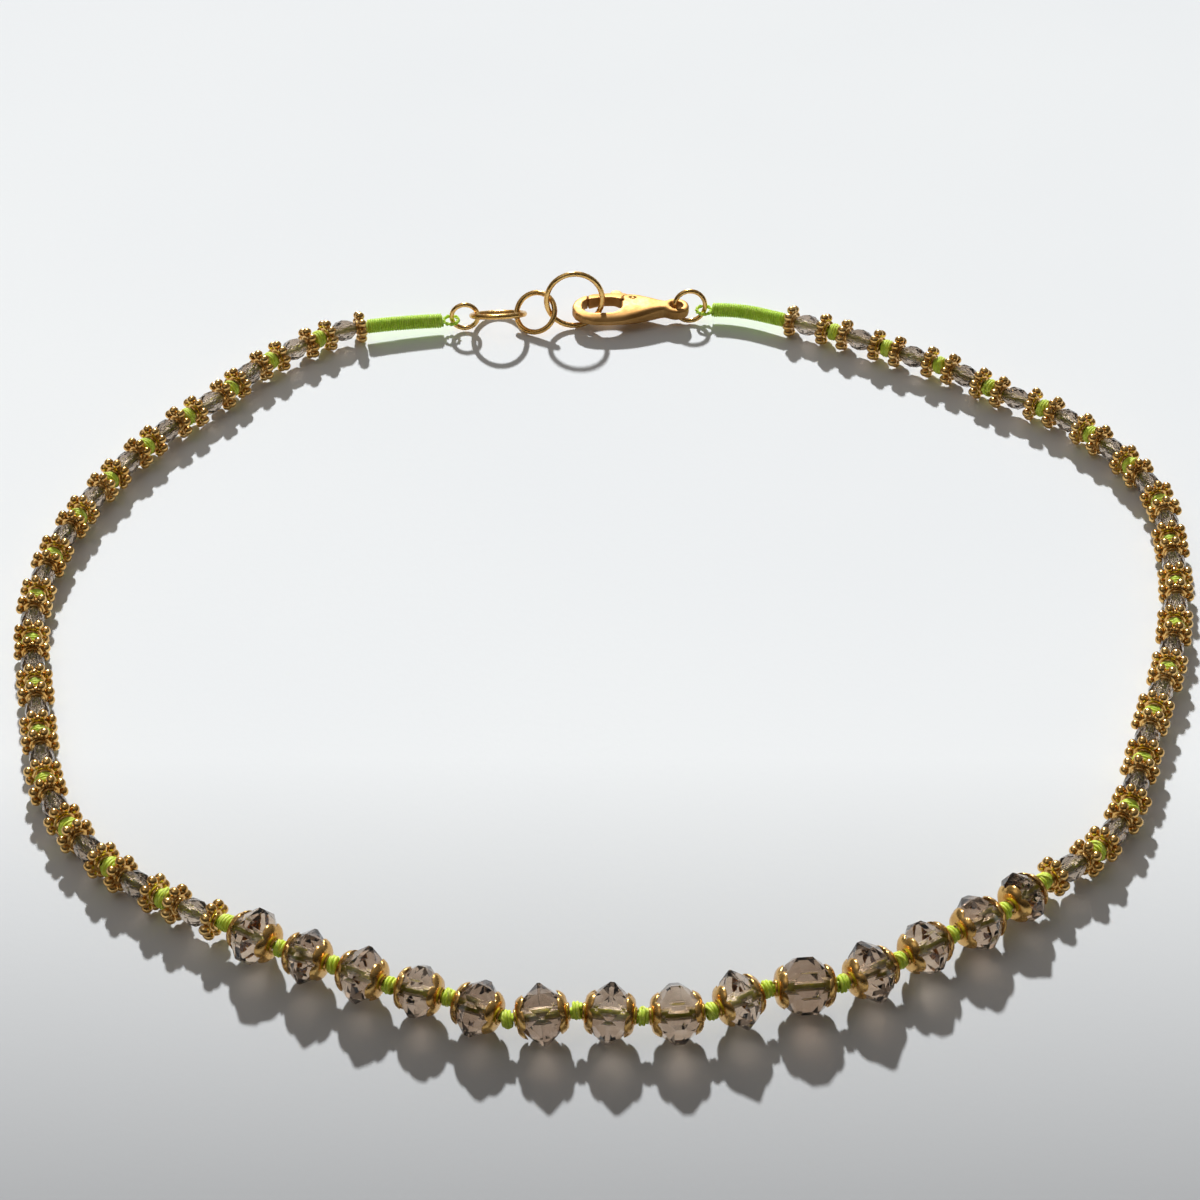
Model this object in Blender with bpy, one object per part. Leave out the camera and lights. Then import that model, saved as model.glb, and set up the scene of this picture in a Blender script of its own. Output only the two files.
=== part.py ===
"""A gemstone necklace lying in an open loop on the plane z = 0, its front towards -Y.

Fourteen drilled and faceted stones, each between two petalled caps, are knotted on silk at the
front. A string of small faceted beads, daisy spacers and silk knots runs up each side. Behind,
a wrapped silk end on each side is joined by rings and a lobster claw clasp with a sprung lever.
"""

import math
from collections import namedtuple

import bmesh
import bpy
import numpy as np
from mathutils import Matrix, Vector

MM = 0.001

# Clearances
SEAT_GAP = 0.10 * MM
KNOT_GAP = 0.12 * MM
LINK_GAP = 0.12 * MM
LEVER_GAP = 0.12 * MM

# Faceted stones at the front
STONE_DIAMETER = 6.0 * MM
STONE_LENGTH = 4.2 * MM
STONE_TABLE_DIAMETER = 2.5 * MM
STONE_CROWN_DIAMETER = 4.4 * MM
STONE_HOLE_DIAMETER = 1.0 * MM
STONE_FACETS = 8
STONE_LIFT = 0.16 * MM

# One row a stone, left to right. size and long are shares of the stone diameter and length,
# girdle is the flat band's share of the stone's length, turn is in degrees about the hole.
# side and rise move the knot on the stone's right, as shares of the knot's diameter.
Stone = namedtuple("Stone", "size long girdle turn side rise")
STONES = (
    Stone(0.98, 0.98, 0.14, 12, -0.25, -0.05),
    Stone(0.92, 0.86, 0.08, 35, 0.05, 0.00),
    Stone(0.96, 0.93, 0.10, 4, -0.05, 0.00),
    Stone(0.89, 0.88, 0.20, 21, 0.15, 0.05),
    Stone(0.93, 0.93, 0.16, 30, -0.50, -0.15),
    Stone(1.00, 1.02, 0.06, 0, 0.25, 0.05),
    Stone(1.01, 0.98, 0.10, 8, -0.05, -0.05),
    Stone(1.00, 1.02, 0.22, 25, -0.15, 0.00),
    Stone(1.01, 0.90, 0.05, 3, 0.50, 0.15),
    Stone(0.98, 1.19, 0.30, 17, -0.40, -0.05),
    Stone(1.03, 1.00, 0.12, 38, -0.25, -0.05),
    Stone(0.92, 1.00, 0.12, 14, 0.00, 0.05),
    Stone(0.94, 1.00, 0.18, 28, -0.20, 0.00),
    Stone(0.90, 0.81, 0.06, 6, 0.00, 0.00),
)

# Petalled caps on both ends of each stone
CAP_RIM_DIAMETER = 4.4 * MM
CAP_DEPTH = 0.75 * MM
CAP_WALL = 0.26 * MM
CAP_HOLE_DIAMETER = 1.0 * MM
CAP_PETALS = 5
CAP_NOTCH = 0.45

# Silk knots and the thread that runs through the stones
KNOT_LENGTH = 1.15 * MM
KNOT_DIAMETER = 1.7 * MM
END_KNOT_LENGTH = 1.6 * MM
THREAD_DIAMETER = 0.45 * MM
KNOT_FACE_SHARE = 0.78

# Bead strings up the sides
STRING_GROUPS = 17
DAISY_DIAMETER = 4.2 * MM
DAISY_THICKNESS = 1.4 * MM
DAISY_NOTCH_DIAMETER = 3.3 * MM
SMALL_BEAD_DIAMETER = 2.6 * MM
SMALL_BEAD_LENGTH = 3.1 * MM
SMALL_BEAD_FACE_DIAMETER = 1.5 * MM
SMALL_BEAD_SHOULDER = 0.9 * MM
STRING_KNOT_LENGTH = 1.5 * MM
STRING_KNOT_DIAMETER = 1.9 * MM
STRING_LIFT = 0.4 * MM
STRING_SIDES = 10

# Wrapped silk ends with a loop for the first ring
WRAP_LENGTH = 10.0 * MM
WRAP_DIAMETER = 1.9 * MM
WRAP_FACE_DIAMETER = 1.3 * MM
LOOP_WIRE_DIAMETER = 0.55 * MM
LOOP_DIAMETER = 1.9 * MM
LOOP_HEIGHT = 1.5 * MM
WRAP_SECTIONS = 5

# Rings of the fastening, left to right. Diameters run through the middle of the wire. lean is
# the angle between the ring's plane and the floor, in degrees, about the necklace's line, and
# turn is the ring's angle about the vertical.
Ring = namedtuple("Ring", "name diameter wire lean turn")
SMALL_WIRE = 0.6 * MM
RING_WIRE = 0.7 * MM
RING_1 = Ring("ring_1", 3.4 * MM, SMALL_WIRE, 85, 0)
RING_2 = Ring("ring_2", 6.8 * MM, RING_WIRE, 150, 0)
RING_3 = Ring("ring_3", 5.2 * MM, RING_WIRE, 45, -30)
RING_4 = Ring("ring_4", 7.2 * MM, RING_WIRE, 80, 0)
RING_5 = Ring("ring_5", 4.0 * MM, SMALL_WIRE, 75, 0)
RING_SEGMENTS = 14
RING_SIDES = 5

# Lobster claw clasp, lying flat with its claw to the left
CLASP_LENGTH = 15.0 * MM
CLASP_HALF_WIDTH = 3.2 * MM
CLASP_THICKNESS = 2.0 * MM
CLASP_EDGE = 0.4 * MM
CLASP_SWAY = 0.9 * MM
CLASP_LINK_ARM = 1.6 * MM
CLASP_EYE_RADIUS = 1.6 * MM
CLASP_EYE_HOLE_RADIUS = 0.9 * MM
CLASP_TAIL_START = 9.8 * MM
CLASP_CLAW_START = 3.6 * MM
CLASP_END_THICKNESS = 1.2 * MM
CLAW_ARM = 1.2 * MM
CLAW_OPENING_LENGTH = 5.2 * MM
CLAW_OPENING_WIDTH = 3.5 * MM
CLAW_OPENING_SIDE = -0.15 * MM
PIVOT_X = 7.8 * MM
PIVOT_Y = 1.5 * MM
PIVOT_EAR_RADIUS = 1.3 * MM
PIN_RADIUS = 0.32 * MM
LEVER_REACH = 5.8 * MM
LEVER_THICKNESS = 1.7 * MM
LEVER_PLATE = 0.8 * MM
LEVER_PLATE_RADIUS = 1.0 * MM
LEVER_ARM = 1.35 * MM
LEVER_KNOB_RADIUS = 0.75 * MM
LEVER_SWING = 18

# One row a point of the clasp's side, from claw to neck: along is a share of the clasp's
# length, near and far are shares of its half width.
Side = namedtuple("Side", "along near far")
CLASP_SIDES = (
    Side(0.00, -0.20, 0.02),
    Side(0.025, -0.52, 0.36),
    Side(0.085, -0.80, 0.68),
    Side(0.185, -0.97, 0.88),
    Side(0.305, -1.00, 0.97),
    Side(0.440, -0.92, 0.94),
    Side(0.560, -0.74, 0.82),
    Side(0.665, -0.52, 0.56),
    Side(0.760, -0.32, 0.34),
    Side(0.815, -0.28, 0.28),
)

# The loop's plan, counter-clockwise from the middle of the front. These points set its form
# alone: it is drawn to the length of all that is strung on it.
LOOP_ROUTE = (
    (2.5, -59.2), (8.7, -58.5), (14.7, -57.0), (21.0, -54.8), (26.8, -52.1), (32.3, -49.2),
    (37.7, -45.8), (42.6, -41.8), (48.0, -37.8), (52.2, -32.2), (55.0, -25.0), (57.4, -17.6),
    (60.2, -10.6), (62.2, -3.4), (63.6, 3.8), (64.3, 11.6), (64.4, 18.6), (62.3, 25.0),
    (58.6, 31.2), (53.8, 36.6), (48.0, 40.6), (42.4, 45.4), (36.0, 49.2), (29.4, 53.0),
    (22.6, 56.4), (14.6, 59.2), (2.3, 58.4), (-10.0, 57.6), (-22.4, 56.8), (-33.0, 54.6),
    (-38.6, 51.0), (-44.4, 45.8), (-48.4, 39.8), (-53.4, 33.8), (-57.4, 27.6), (-60.8, 20.6),
    (-63.2, 13.6), (-64.6, 6.4), (-64.8, -0.6), (-63.8, -7.6), (-62.2, -14.4), (-60.6, -21.4),
    (-58.6, -28.6), (-54.8, -35.0), (-49.6, -40.2), (-43.2, -44.6), (-36.9, -48.0),
    (-31.6, -50.7), (-26.3, -53.3), (-20.9, -55.5), (-15.3, -57.3), (-9.7, -58.6), (-3.6, -59.2),
)
ROUTE_STEPS = 24


def make_material(name, color, metallic, roughness, transmission=0.0):
    material = bpy.data.materials.new(name)
    material.use_nodes = True
    shader = material.node_tree.nodes["Principled BSDF"]
    shader.inputs["Base Color"].default_value = (*color, 1.0)
    shader.inputs["Metallic"].default_value = metallic
    shader.inputs["Roughness"].default_value = roughness
    shader.inputs["Transmission Weight"].default_value = transmission
    material.diffuse_color = (*color, 1.0)
    return material


def mesh_of(name, shape):
    """Turns a bmesh into a mesh with its faces pointing out."""
    bmesh.ops.recalc_face_normals(shape, faces=shape.faces)
    mesh = bpy.data.meshes.new(name)
    shape.to_mesh(mesh)
    shape.free()
    return mesh


def add_object(name, mesh, material, place=None):
    if not mesh.materials:
        mesh.materials.append(material)
    piece = bpy.data.objects.new(name, mesh)
    bpy.context.collection.objects.link(piece)
    piece.parent = bpy.data.objects["necklace"]
    if place is not None:
        piece.matrix_local = place
    return piece


def frame_along(origin, direction):
    """A matrix whose X runs along direction, with Y level."""
    along = direction.normalized()
    level = Vector((0, 0, 1)).cross(along).normalized()
    up = along.cross(level)
    turn = Matrix((along, level, up)).transposed().to_4x4()
    return Matrix.Translation(origin) @ turn


def ring_points(place, radii, turn=0.0):
    """Points round the X axis of a frame, one for each radius in turn."""
    count = len(radii)
    points = []
    for i, radius in enumerate(radii):
        angle = 2 * math.pi * i / count + turn
        points.append(place @ Vector((0, radius * math.cos(angle), radius * math.sin(angle))))
    return points


def skin(rings, closed=False):
    """A bmesh through rings with equal counts of points, capped at its ends or closed on itself."""
    shape = bmesh.new()
    rows = [[shape.verts.new(point) for point in ring] for ring in rings]
    count = len(rows[0])
    pairs = list(zip(rows, rows[1:]))
    if closed:
        pairs.append((rows[-1], rows[0]))
    for near, far in pairs:
        for i in range(count):
            k = (i + 1) % count
            shape.faces.new((near[i], near[k], far[k], far[i]))
    if not closed:
        shape.faces.new(rows[0])
        shape.faces.new(rows[-1])
    return shape


def prism(outline, low, high):
    """A bmesh that stands on a closed outline of (x, y) points between two heights."""
    return skin([[Vector((x, y, z)) for x, y in outline] for z in (low, high)])


def arc(centre, radius, start, end, count):
    """Points on an arc, with its angles in degrees."""
    points = []
    for i in range(count + 1):
        angle = math.radians(start + (end - start) * i / count)
        points.append((centre[0] + radius * math.cos(angle), centre[1] + radius * math.sin(angle)))
    return points


class Route:
    """A smooth closed curve in plan, drawn to a given length and read by distance along it."""

    def __init__(self, points, length):
        fine = []
        count = len(points)
        for i in range(count):
            a, b, c, d = (np.array(points[(i + k) % count], float) for k in (-1, 0, 1, 2))
            for step in range(ROUTE_STEPS):
                t = step / ROUTE_STEPS
                bend = 2 * a - 5 * b + 4 * c - d
                twist = 3 * b - a - 3 * c + d
                fine.append(0.5 * (2 * b + (c - a) * t + bend * t * t + twist * t ** 3))
        fine.append(fine[0])
        fine = np.array(fine)
        lengths = np.linalg.norm(np.diff(fine, axis=0), axis=1)
        self.length = length
        self.points = fine * length / lengths.sum()
        self.marks = np.concatenate([[0.0], np.cumsum(lengths)]) * length / lengths.sum()

    def at(self, distance):
        distance = distance % self.length
        return Vector([float(np.interp(distance, self.marks, self.points[:, k])) for k in (0, 1)])

    def heading(self, distance):
        ahead = 0.2 * MM
        return (self.at(distance + ahead) - self.at(distance - ahead)).normalized()


class Stone3D:
    """The sizes that follow from one stone's row."""

    def __init__(self, row):
        self.row = row
        self.radius = STONE_DIAMETER * row.size / 2
        self.half = STONE_LENGTH * row.long / 2
        self.table = STONE_TABLE_DIAMETER * row.size / 2
        self.crown = STONE_CROWN_DIAMETER * row.size / 2
        self.girdle = self.half * row.girdle
        lean = math.cos(math.pi / STONE_FACETS)
        slope = (self.half - self.girdle) / (self.radius - self.table)
        self.crown_half = self.girdle + slope * (self.radius - self.crown * lean)
        reach = CAP_RIM_DIAMETER / 2 - SEAT_GAP
        on_kite = slope * (reach - self.table)
        inner = self.table * lean
        on_crown = (self.half - self.crown_half) * (reach - inner) / (self.crown - inner)
        self.cap_seat = max(SEAT_GAP, CAP_DEPTH - min(on_kite, on_crown))
        self.reach = self.half + self.cap_seat + CAP_WALL

    def rest_height(self):
        """Height of the hole's axis when the lowest corner of the girdle touches the floor."""
        step = 360 / STONE_FACETS
        off = (self.row.turn + 90) % step
        off = min(off, step - off)
        return self.radius * math.cos(math.radians(off))

    def shape(self):
        """Two drilled tables, star facets, kites and girdle facets on each side of a flat band."""
        shape = bmesh.new()
        count = STONE_FACETS
        turn = math.radians(self.row.turn)
        half_step = math.pi / count

        def row(x, radius, offset):
            place = Matrix.Translation((x, 0, 0))
            return [shape.verts.new(p) for p in ring_points(place, [radius] * count, turn + offset)]

        holes, tables, crowns, girdles = [], [], [], []
        for sign in (-1, 1):
            holes.append(row(sign * self.half, STONE_HOLE_DIAMETER / 2, 0))
            tables.append(row(sign * self.half, self.table, 0))
            crowns.append(row(sign * self.crown_half, self.crown, half_step))
            girdles.append(row(sign * self.girdle, self.radius, 0))
        for i in range(count):
            k = (i + 1) % count
            for hole, table, crown, girdle in zip(holes, tables, crowns, girdles):
                shape.faces.new((hole[i], hole[k], table[k], table[i]))
                shape.faces.new((table[i], table[k], crown[i]))
                shape.faces.new((table[k], crown[i], girdle[k], crown[k]))
                shape.faces.new((crown[i], girdle[i], girdle[k]))
            shape.faces.new((holes[0][i], holes[0][k], holes[1][k], holes[1][i]))
            shape.faces.new((girdles[0][i], girdles[0][k], girdles[1][k], girdles[1][i]))
        return shape


def cap_shape(table_radius):
    """A cup with petals round its rim. Its inner face is at x = 0 and its petals reach +X."""
    flat = table_radius + SEAT_GAP
    rim = CAP_RIM_DIAMETER / 2
    hole = CAP_HOLE_DIAMETER / 2
    notch_radius = flat + (rim - flat) * CAP_NOTCH
    count = 2 * CAP_PETALS

    def row(x_tip, radius_tip, x_notch, radius_notch):
        points = []
        for i in range(count):
            at_tip = i % 2 == 0
            radius = radius_tip if at_tip else radius_notch
            angle = 2 * math.pi * i / count
            x = x_tip if at_tip else x_notch
            points.append(Vector((x, radius * math.cos(angle), radius * math.sin(angle))))
        return points

    wall_side = CAP_WALL * 0.8
    rings = [
        row(0, hole, 0, hole),
        row(0, flat, 0, flat),
        row(CAP_DEPTH, rim, CAP_DEPTH * CAP_NOTCH, notch_radius),
        row(
            CAP_DEPTH - wall_side / 2, rim + wall_side,
            CAP_DEPTH * CAP_NOTCH - wall_side, notch_radius + wall_side / 2,
        ),
        row(-CAP_WALL, flat, -CAP_WALL, flat),
        row(-CAP_WALL, hole, -CAP_WALL, hole),
    ]
    return skin(rings, closed=True)


def link_circle(ring, x, side, height, count=72):
    """Centre line of a ring's wire, with x along the necklace."""
    lean, turn = math.radians(ring.lean), math.radians(ring.turn)
    angles = np.arange(count) * 2 * math.pi / count
    along = ring.diameter / 2 * np.cos(angles)
    across = ring.diameter / 2 * np.sin(angles)
    return np.stack([
        x + along * math.cos(turn) - across * math.cos(lean) * math.sin(turn),
        side + along * math.sin(turn) + across * math.cos(lean) * math.cos(turn),
        height + across * math.sin(lean),
    ], axis=1)


def ring_height(ring):
    return ring.diameter / 2 * math.sin(math.radians(ring.lean)) + ring.wire / 2


def passes_through(disc, line):
    """Whether a closed line runs through the disc inside a circle an odd number of times."""
    centre = disc.mean(axis=0)
    normal = np.cross(disc[0] - centre, disc[len(disc) // 4] - centre)
    radius = np.linalg.norm(disc[0] - centre)
    side = (line - centre) @ normal
    after = np.roll(side, -1)
    crossing = side * after < 0
    share = side[crossing] / (side[crossing] - after[crossing])
    ahead = np.roll(line, -1, axis=0)[crossing]
    points = line[crossing] + (ahead - line[crossing]) * share[:, None]
    return (np.linalg.norm(points - centre, axis=1) < radius).sum() % 2 == 1


def link_spacing(first, first_height, second, second_height, side=0.0):
    """The widest spacing of two interlocked rings that leaves the link gap between their wires."""
    needed = (first.wire + second.wire) / 2 + LINK_GAP
    widest = (first.diameter + second.diameter) / 2
    here = link_circle(first, 0.0, 0.0, first_height)
    for spacing in np.arange(widest, widest / 4, -0.02 * MM):
        there = link_circle(second, spacing, side, second_height)
        if passes_through(here, there):
            apart = here[:, None, :] - there[None, :, :]
            if np.sqrt((apart ** 2).sum(axis=2)).min() >= needed:
                return float(spacing)
    raise ValueError(f"{first.name} and {second.name} cannot interlock")


def ring_shape(ring):
    """A ring of round wire in its own plane, its hole along Z."""
    rings = []
    for i in range(RING_SEGMENTS):
        angle = 2 * math.pi * i / RING_SEGMENTS
        centre = Vector((math.cos(angle), math.sin(angle), 0)) * ring.diameter / 2
        place = frame_along(centre, Vector((-math.sin(angle), math.cos(angle), 0)))
        rings.append(ring_points(place, [ring.wire / 2] * RING_SIDES))
    return skin(rings, closed=True)


def cut(piece, cutter_shape, name, operation="DIFFERENCE"):
    """Adds a Boolean with a hidden cutter that shares the piece's place."""
    cutter = bpy.data.objects.new(name, mesh_of(name, cutter_shape))
    bpy.context.collection.objects.link(cutter)
    cutter.parent = piece
    cutter.hide_render = True
    cutter.display_type = "WIRE"
    modifier = piece.modifiers.new(name, "BOOLEAN")
    modifier.operation = operation
    modifier.solver = "EXACT"
    modifier.object = cutter


def clasp_outline():
    near = [(side.along * CLASP_LENGTH, side.near * CLASP_HALF_WIDTH) for side in CLASP_SIDES]
    far = [(side.along * CLASP_LENGTH, side.far * CLASP_HALF_WIDTH) for side in CLASP_SIDES]
    eye = (CLASP_LENGTH - CLASP_EYE_RADIUS, 0.0)
    return near + arc(eye, CLASP_EYE_RADIUS, -125, 125, 10) + far[::-1]


def claw_opening(count=22):
    """A rounded oblong, fuller in its corners than an ellipse."""
    centre_x = CLAW_ARM + CLAW_OPENING_LENGTH / 2
    points = []
    for i in range(count):
        angle = 2 * math.pi * i / count
        c, s = math.cos(angle), math.sin(angle)
        x = math.copysign(abs(c) ** 0.75, c) * CLAW_OPENING_LENGTH / 2
        y = math.copysign(abs(s) ** 0.75, s) * CLAW_OPENING_WIDTH / 2
        points.append((centre_x + x, CLAW_OPENING_SIDE + y))
    return points


def far_side_at(x):
    along = [side.along * CLASP_LENGTH for side in CLASP_SIDES]
    far = [side.far * CLASP_HALF_WIDTH for side in CLASP_SIDES]
    return float(np.interp(x, along, far))


def pivot_sector(inner, outer, start, end):
    """A slice of a ring round the lever's pivot."""
    pivot = (PIVOT_X, PIVOT_Y)
    return arc(pivot, outer, start, end, 14) + arc(pivot, inner, end, start, 8)


def lever_outline():
    """The lever's arm in plan, between the claw's tip and the ears of the pivot."""
    pivot = (PIVOT_X, PIVOT_Y)
    reach = LEVER_REACH
    ear = PIVOT_EAR_RADIUS + LEVER_GAP
    outer = []
    tip_top = far_side_at(PIVOT_X - reach) - LEVER_GAP
    tip_angle = 180 - math.degrees(math.asin((tip_top - PIVOT_Y) / reach))
    knob_x = PIVOT_X - ear - LEVER_KNOB_RADIUS
    for share in (0.2, 0.45, 0.7):
        x = PIVOT_X - reach + share * (knob_x - LEVER_KNOB_RADIUS - PIVOT_X + reach)
        outer.append((x, far_side_at(x)))
    knob = arc((knob_x, far_side_at(knob_x)), LEVER_KNOB_RADIUS, 180, 20, 6)
    root = arc(pivot, ear, 118, 192, 6)
    bottom = PIVOT_Y + ear * math.sin(math.radians(192))
    inner = []
    for share in (0.75, 0.5, 0.25):
        x = PIVOT_X - reach + share * (reach - ear)
        inner.append((x, max(bottom, far_side_at(x) - LEVER_ARM)))
    tip_low = far_side_at(PIVOT_X - reach) - LEVER_ARM
    low_angle = 180 - math.degrees(math.asin((tip_low - PIVOT_Y) / reach))
    tip = arc(pivot, reach, low_angle, tip_angle, 3)
    return tip + outer + knob + root + inner


def lever_plate_outline():
    """The thin plate that carries the lever's arm into the slot between the ears."""
    pivot = (PIVOT_X, PIVOT_Y)
    join = PIVOT_EAR_RADIUS + LEVER_GAP + 0.5 * MM
    return arc(pivot, join, 140, 180, 3) + arc(pivot, LEVER_PLATE_RADIUS, 215, 465, 12)


def end_wedges(start, end):
    """Two wedges, above and below, that thin the clasp from one place along it to its end."""
    toward = math.copysign(1.0, end - start)
    run = (CLASP_THICKNESS - CLASP_END_THICKNESS) / 2 / abs(end - start)
    beyond = MM
    shape = bmesh.new()
    for sign in (-1, 1):
        profile = (
            (start - beyond * toward, CLASP_THICKNESS / 2 + run * beyond),
            (end + beyond * toward, CLASP_END_THICKNESS / 2 - run * beyond),
            (end + beyond * toward, CLASP_THICKNESS),
            (start - beyond * toward, CLASP_THICKNESS),
        )
        rows = []
        for y in (-CLASP_HALF_WIDTH * 2, CLASP_HALF_WIDTH * 2):
            rows.append([shape.verts.new((x, y, sign * z)) for x, z in profile])
        for i in range(4):
            k = (i + 1) % 4
            shape.faces.new((rows[0][i], rows[0][k], rows[1][k], rows[1][i]))
        shape.faces.new(rows[0])
        shape.faces.new(rows[1])
    return shape


def shifted(outline, origin):
    return [(x - origin[0], y - origin[1]) for x, y in outline]


def add_clasp(place, gold):
    """The clasp's body, its lever on a pivot, and the pin, all in the clasp's own frame."""
    half = CLASP_THICKNESS / 2
    past = CLASP_THICKNESS
    body_shape = prism(clasp_outline(), -half, half)
    body = add_object("clasp_body", mesh_of("clasp_body", body_shape), gold, place)
    rounding = body.modifiers.new("rounded edges", "BEVEL")
    rounding.width = CLASP_EDGE
    rounding.segments = 1
    rounding.limit_method = "ANGLE"
    rounding.angle_limit = math.radians(60)
    cut(body, prism(claw_opening(), -past, past), "claw_opening")
    mouth = pivot_sector(
        PIVOT_EAR_RADIUS, LEVER_REACH + LEVER_GAP, 100, 192 + LEVER_SWING + 4,
    )
    cut(body, prism(mouth, -past, past), "lever_mouth")
    slot = LEVER_PLATE / 2 + LEVER_GAP
    slot_reach = LEVER_PLATE_RADIUS + LEVER_GAP
    slot_outline = arc((PIVOT_X, PIVOT_Y), slot_reach, 225, 450, 12)
    slot_outline += arc((PIVOT_X, PIVOT_Y), 2 * PIVOT_EAR_RADIUS, 95, 215, 8)
    cut(body, prism(slot_outline, -slot, slot), "lever_slot")
    pin_hole = arc((PIVOT_X, PIVOT_Y), PIN_RADIUS + SEAT_GAP, 0, 324, 9)
    cut(body, prism(pin_hole, -past, past), "pin_hole")
    eye = (CLASP_LENGTH - CLASP_EYE_RADIUS, 0.0)
    cut(body, prism(arc(eye, CLASP_EYE_HOLE_RADIUS, 0, 330, 11), -past, past), "eye_hole")
    cut(body, end_wedges(CLASP_TAIL_START, CLASP_LENGTH), "tail_taper")
    cut(body, end_wedges(CLASP_CLAW_START, 0.0), "claw_taper")

    pin_shape = prism(arc((0, 0), PIN_RADIUS, 0, 324, 9), -half, half)
    pivot_place = place @ Matrix.Translation((PIVOT_X, PIVOT_Y, 0))
    add_object("clasp_pin", mesh_of("clasp_pin", pin_shape), gold, pivot_place)

    origin = (PIVOT_X, PIVOT_Y)
    arm_half = LEVER_THICKNESS / 2
    arm_shape = prism(shifted(lever_outline(), origin), -arm_half, arm_half)
    lever = add_object("clasp_lever", mesh_of("clasp_lever", arm_shape), gold, pivot_place)
    plate_half = LEVER_PLATE / 2
    plate = prism(shifted(lever_plate_outline(), origin), -plate_half, plate_half)
    cut(lever, plate, "lever_plate", "UNION")
    bore = prism(arc((0, 0), PIN_RADIUS + SEAT_GAP, 0, 324, 9), -past, past)
    cut(lever, bore, "lever_bore")


def loop_ring():
    return Ring("silk_loop", LOOP_DIAMETER, LOOP_WIRE_DIAMETER, 0, 0)


class Fastening:
    """Places of the rings and the clasp on one straight line, from the left silk loop."""

    def __init__(self):
        loop = loop_ring()
        self.heights = {}
        self.places = {}
        at = 0.0
        last, last_height = loop, LOOP_HEIGHT
        for ring in (RING_1, RING_2, RING_3, RING_4):
            height = ring_height(ring)
            at += link_spacing(last, last_height, ring, height)
            self.places[ring.name] = at
            self.heights[ring.name] = height
            last, last_height = ring, height
        self.clasp_height = RING_WIRE + SEAT_GAP + CLASP_THICKNESS / 2
        claw = Ring("claw", CLAW_OPENING_WIDTH + CLAW_ARM, CLASP_LINK_ARM, 0, 0)
        at += link_spacing(last, last_height, claw, self.clasp_height, CLASP_SWAY * 0.7)
        self.clasp = at - claw.diameter / 2 - CLAW_ARM / 2
        eye = self.clasp + CLASP_LENGTH - CLASP_EYE_RADIUS
        ring = RING_5
        self.heights[ring.name] = ring_height(ring)
        inside = ring.diameter / 2 * math.cos(math.pi / RING_SEGMENTS) - ring.wire / 2 - LINK_GAP
        rise = abs(ring_height(ring) - self.clasp_height) + CLASP_END_THICKNESS / 2
        hold = math.sqrt(inside ** 2 - rise ** 2)
        self.places[ring.name] = eye + CLASP_EYE_HOLE_RADIUS - ring.wire / 2 + hold
        self.length = self.places[ring.name] + link_spacing(
            ring, self.heights[ring.name], loop, LOOP_HEIGHT
        )


def lobed(radius, notch_radius):
    return [radius if i % 2 == 0 else notch_radius for i in range(STRING_SIDES)]


def string_sections():
    """(distance, radii) rows along one bead string, from the stones to the silk wrap."""
    daisy = lobed(DAISY_DIAMETER / 2, DAISY_NOTCH_DIAMETER / 2)
    face = [SMALL_BEAD_FACE_DIAMETER / 2] * STRING_SIDES
    belly = [SMALL_BEAD_DIAMETER / 2] * STRING_SIDES
    knot = [STRING_KNOT_DIAMETER / 2] * STRING_SIDES
    rows = []
    at = 0.0
    for group in range(STRING_GROUPS):
        rows += [(at, daisy), (at + DAISY_THICKNESS, daisy)]
        at += DAISY_THICKNESS
        rows += [(at, face), (at + SMALL_BEAD_SHOULDER, belly)]
        at += SMALL_BEAD_LENGTH
        rows += [(at - SMALL_BEAD_SHOULDER, belly), (at, face)]
        rows += [(at, daisy), (at + DAISY_THICKNESS, daisy)]
        at += DAISY_THICKNESS
        if group < STRING_GROUPS - 1:
            rows += [(at, knot), (at + STRING_KNOT_LENGTH, knot)]
            at += STRING_KNOT_LENGTH
    return rows


def wrap_sections():
    """(distance, radius) rows along one silk wrap, from the bead string to its loop."""
    face = WRAP_FACE_DIAMETER / 2
    body = WRAP_DIAMETER / 2
    shoulder = (WRAP_DIAMETER - WRAP_FACE_DIAMETER) / 2
    rows = [(0.0, face)]
    for i in range(WRAP_SECTIONS):
        span = WRAP_LENGTH - 2 * shoulder
        rows.append((shoulder + span * i / (WRAP_SECTIONS - 1), body))
    rows.append((WRAP_LENGTH, face))
    return rows


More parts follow.
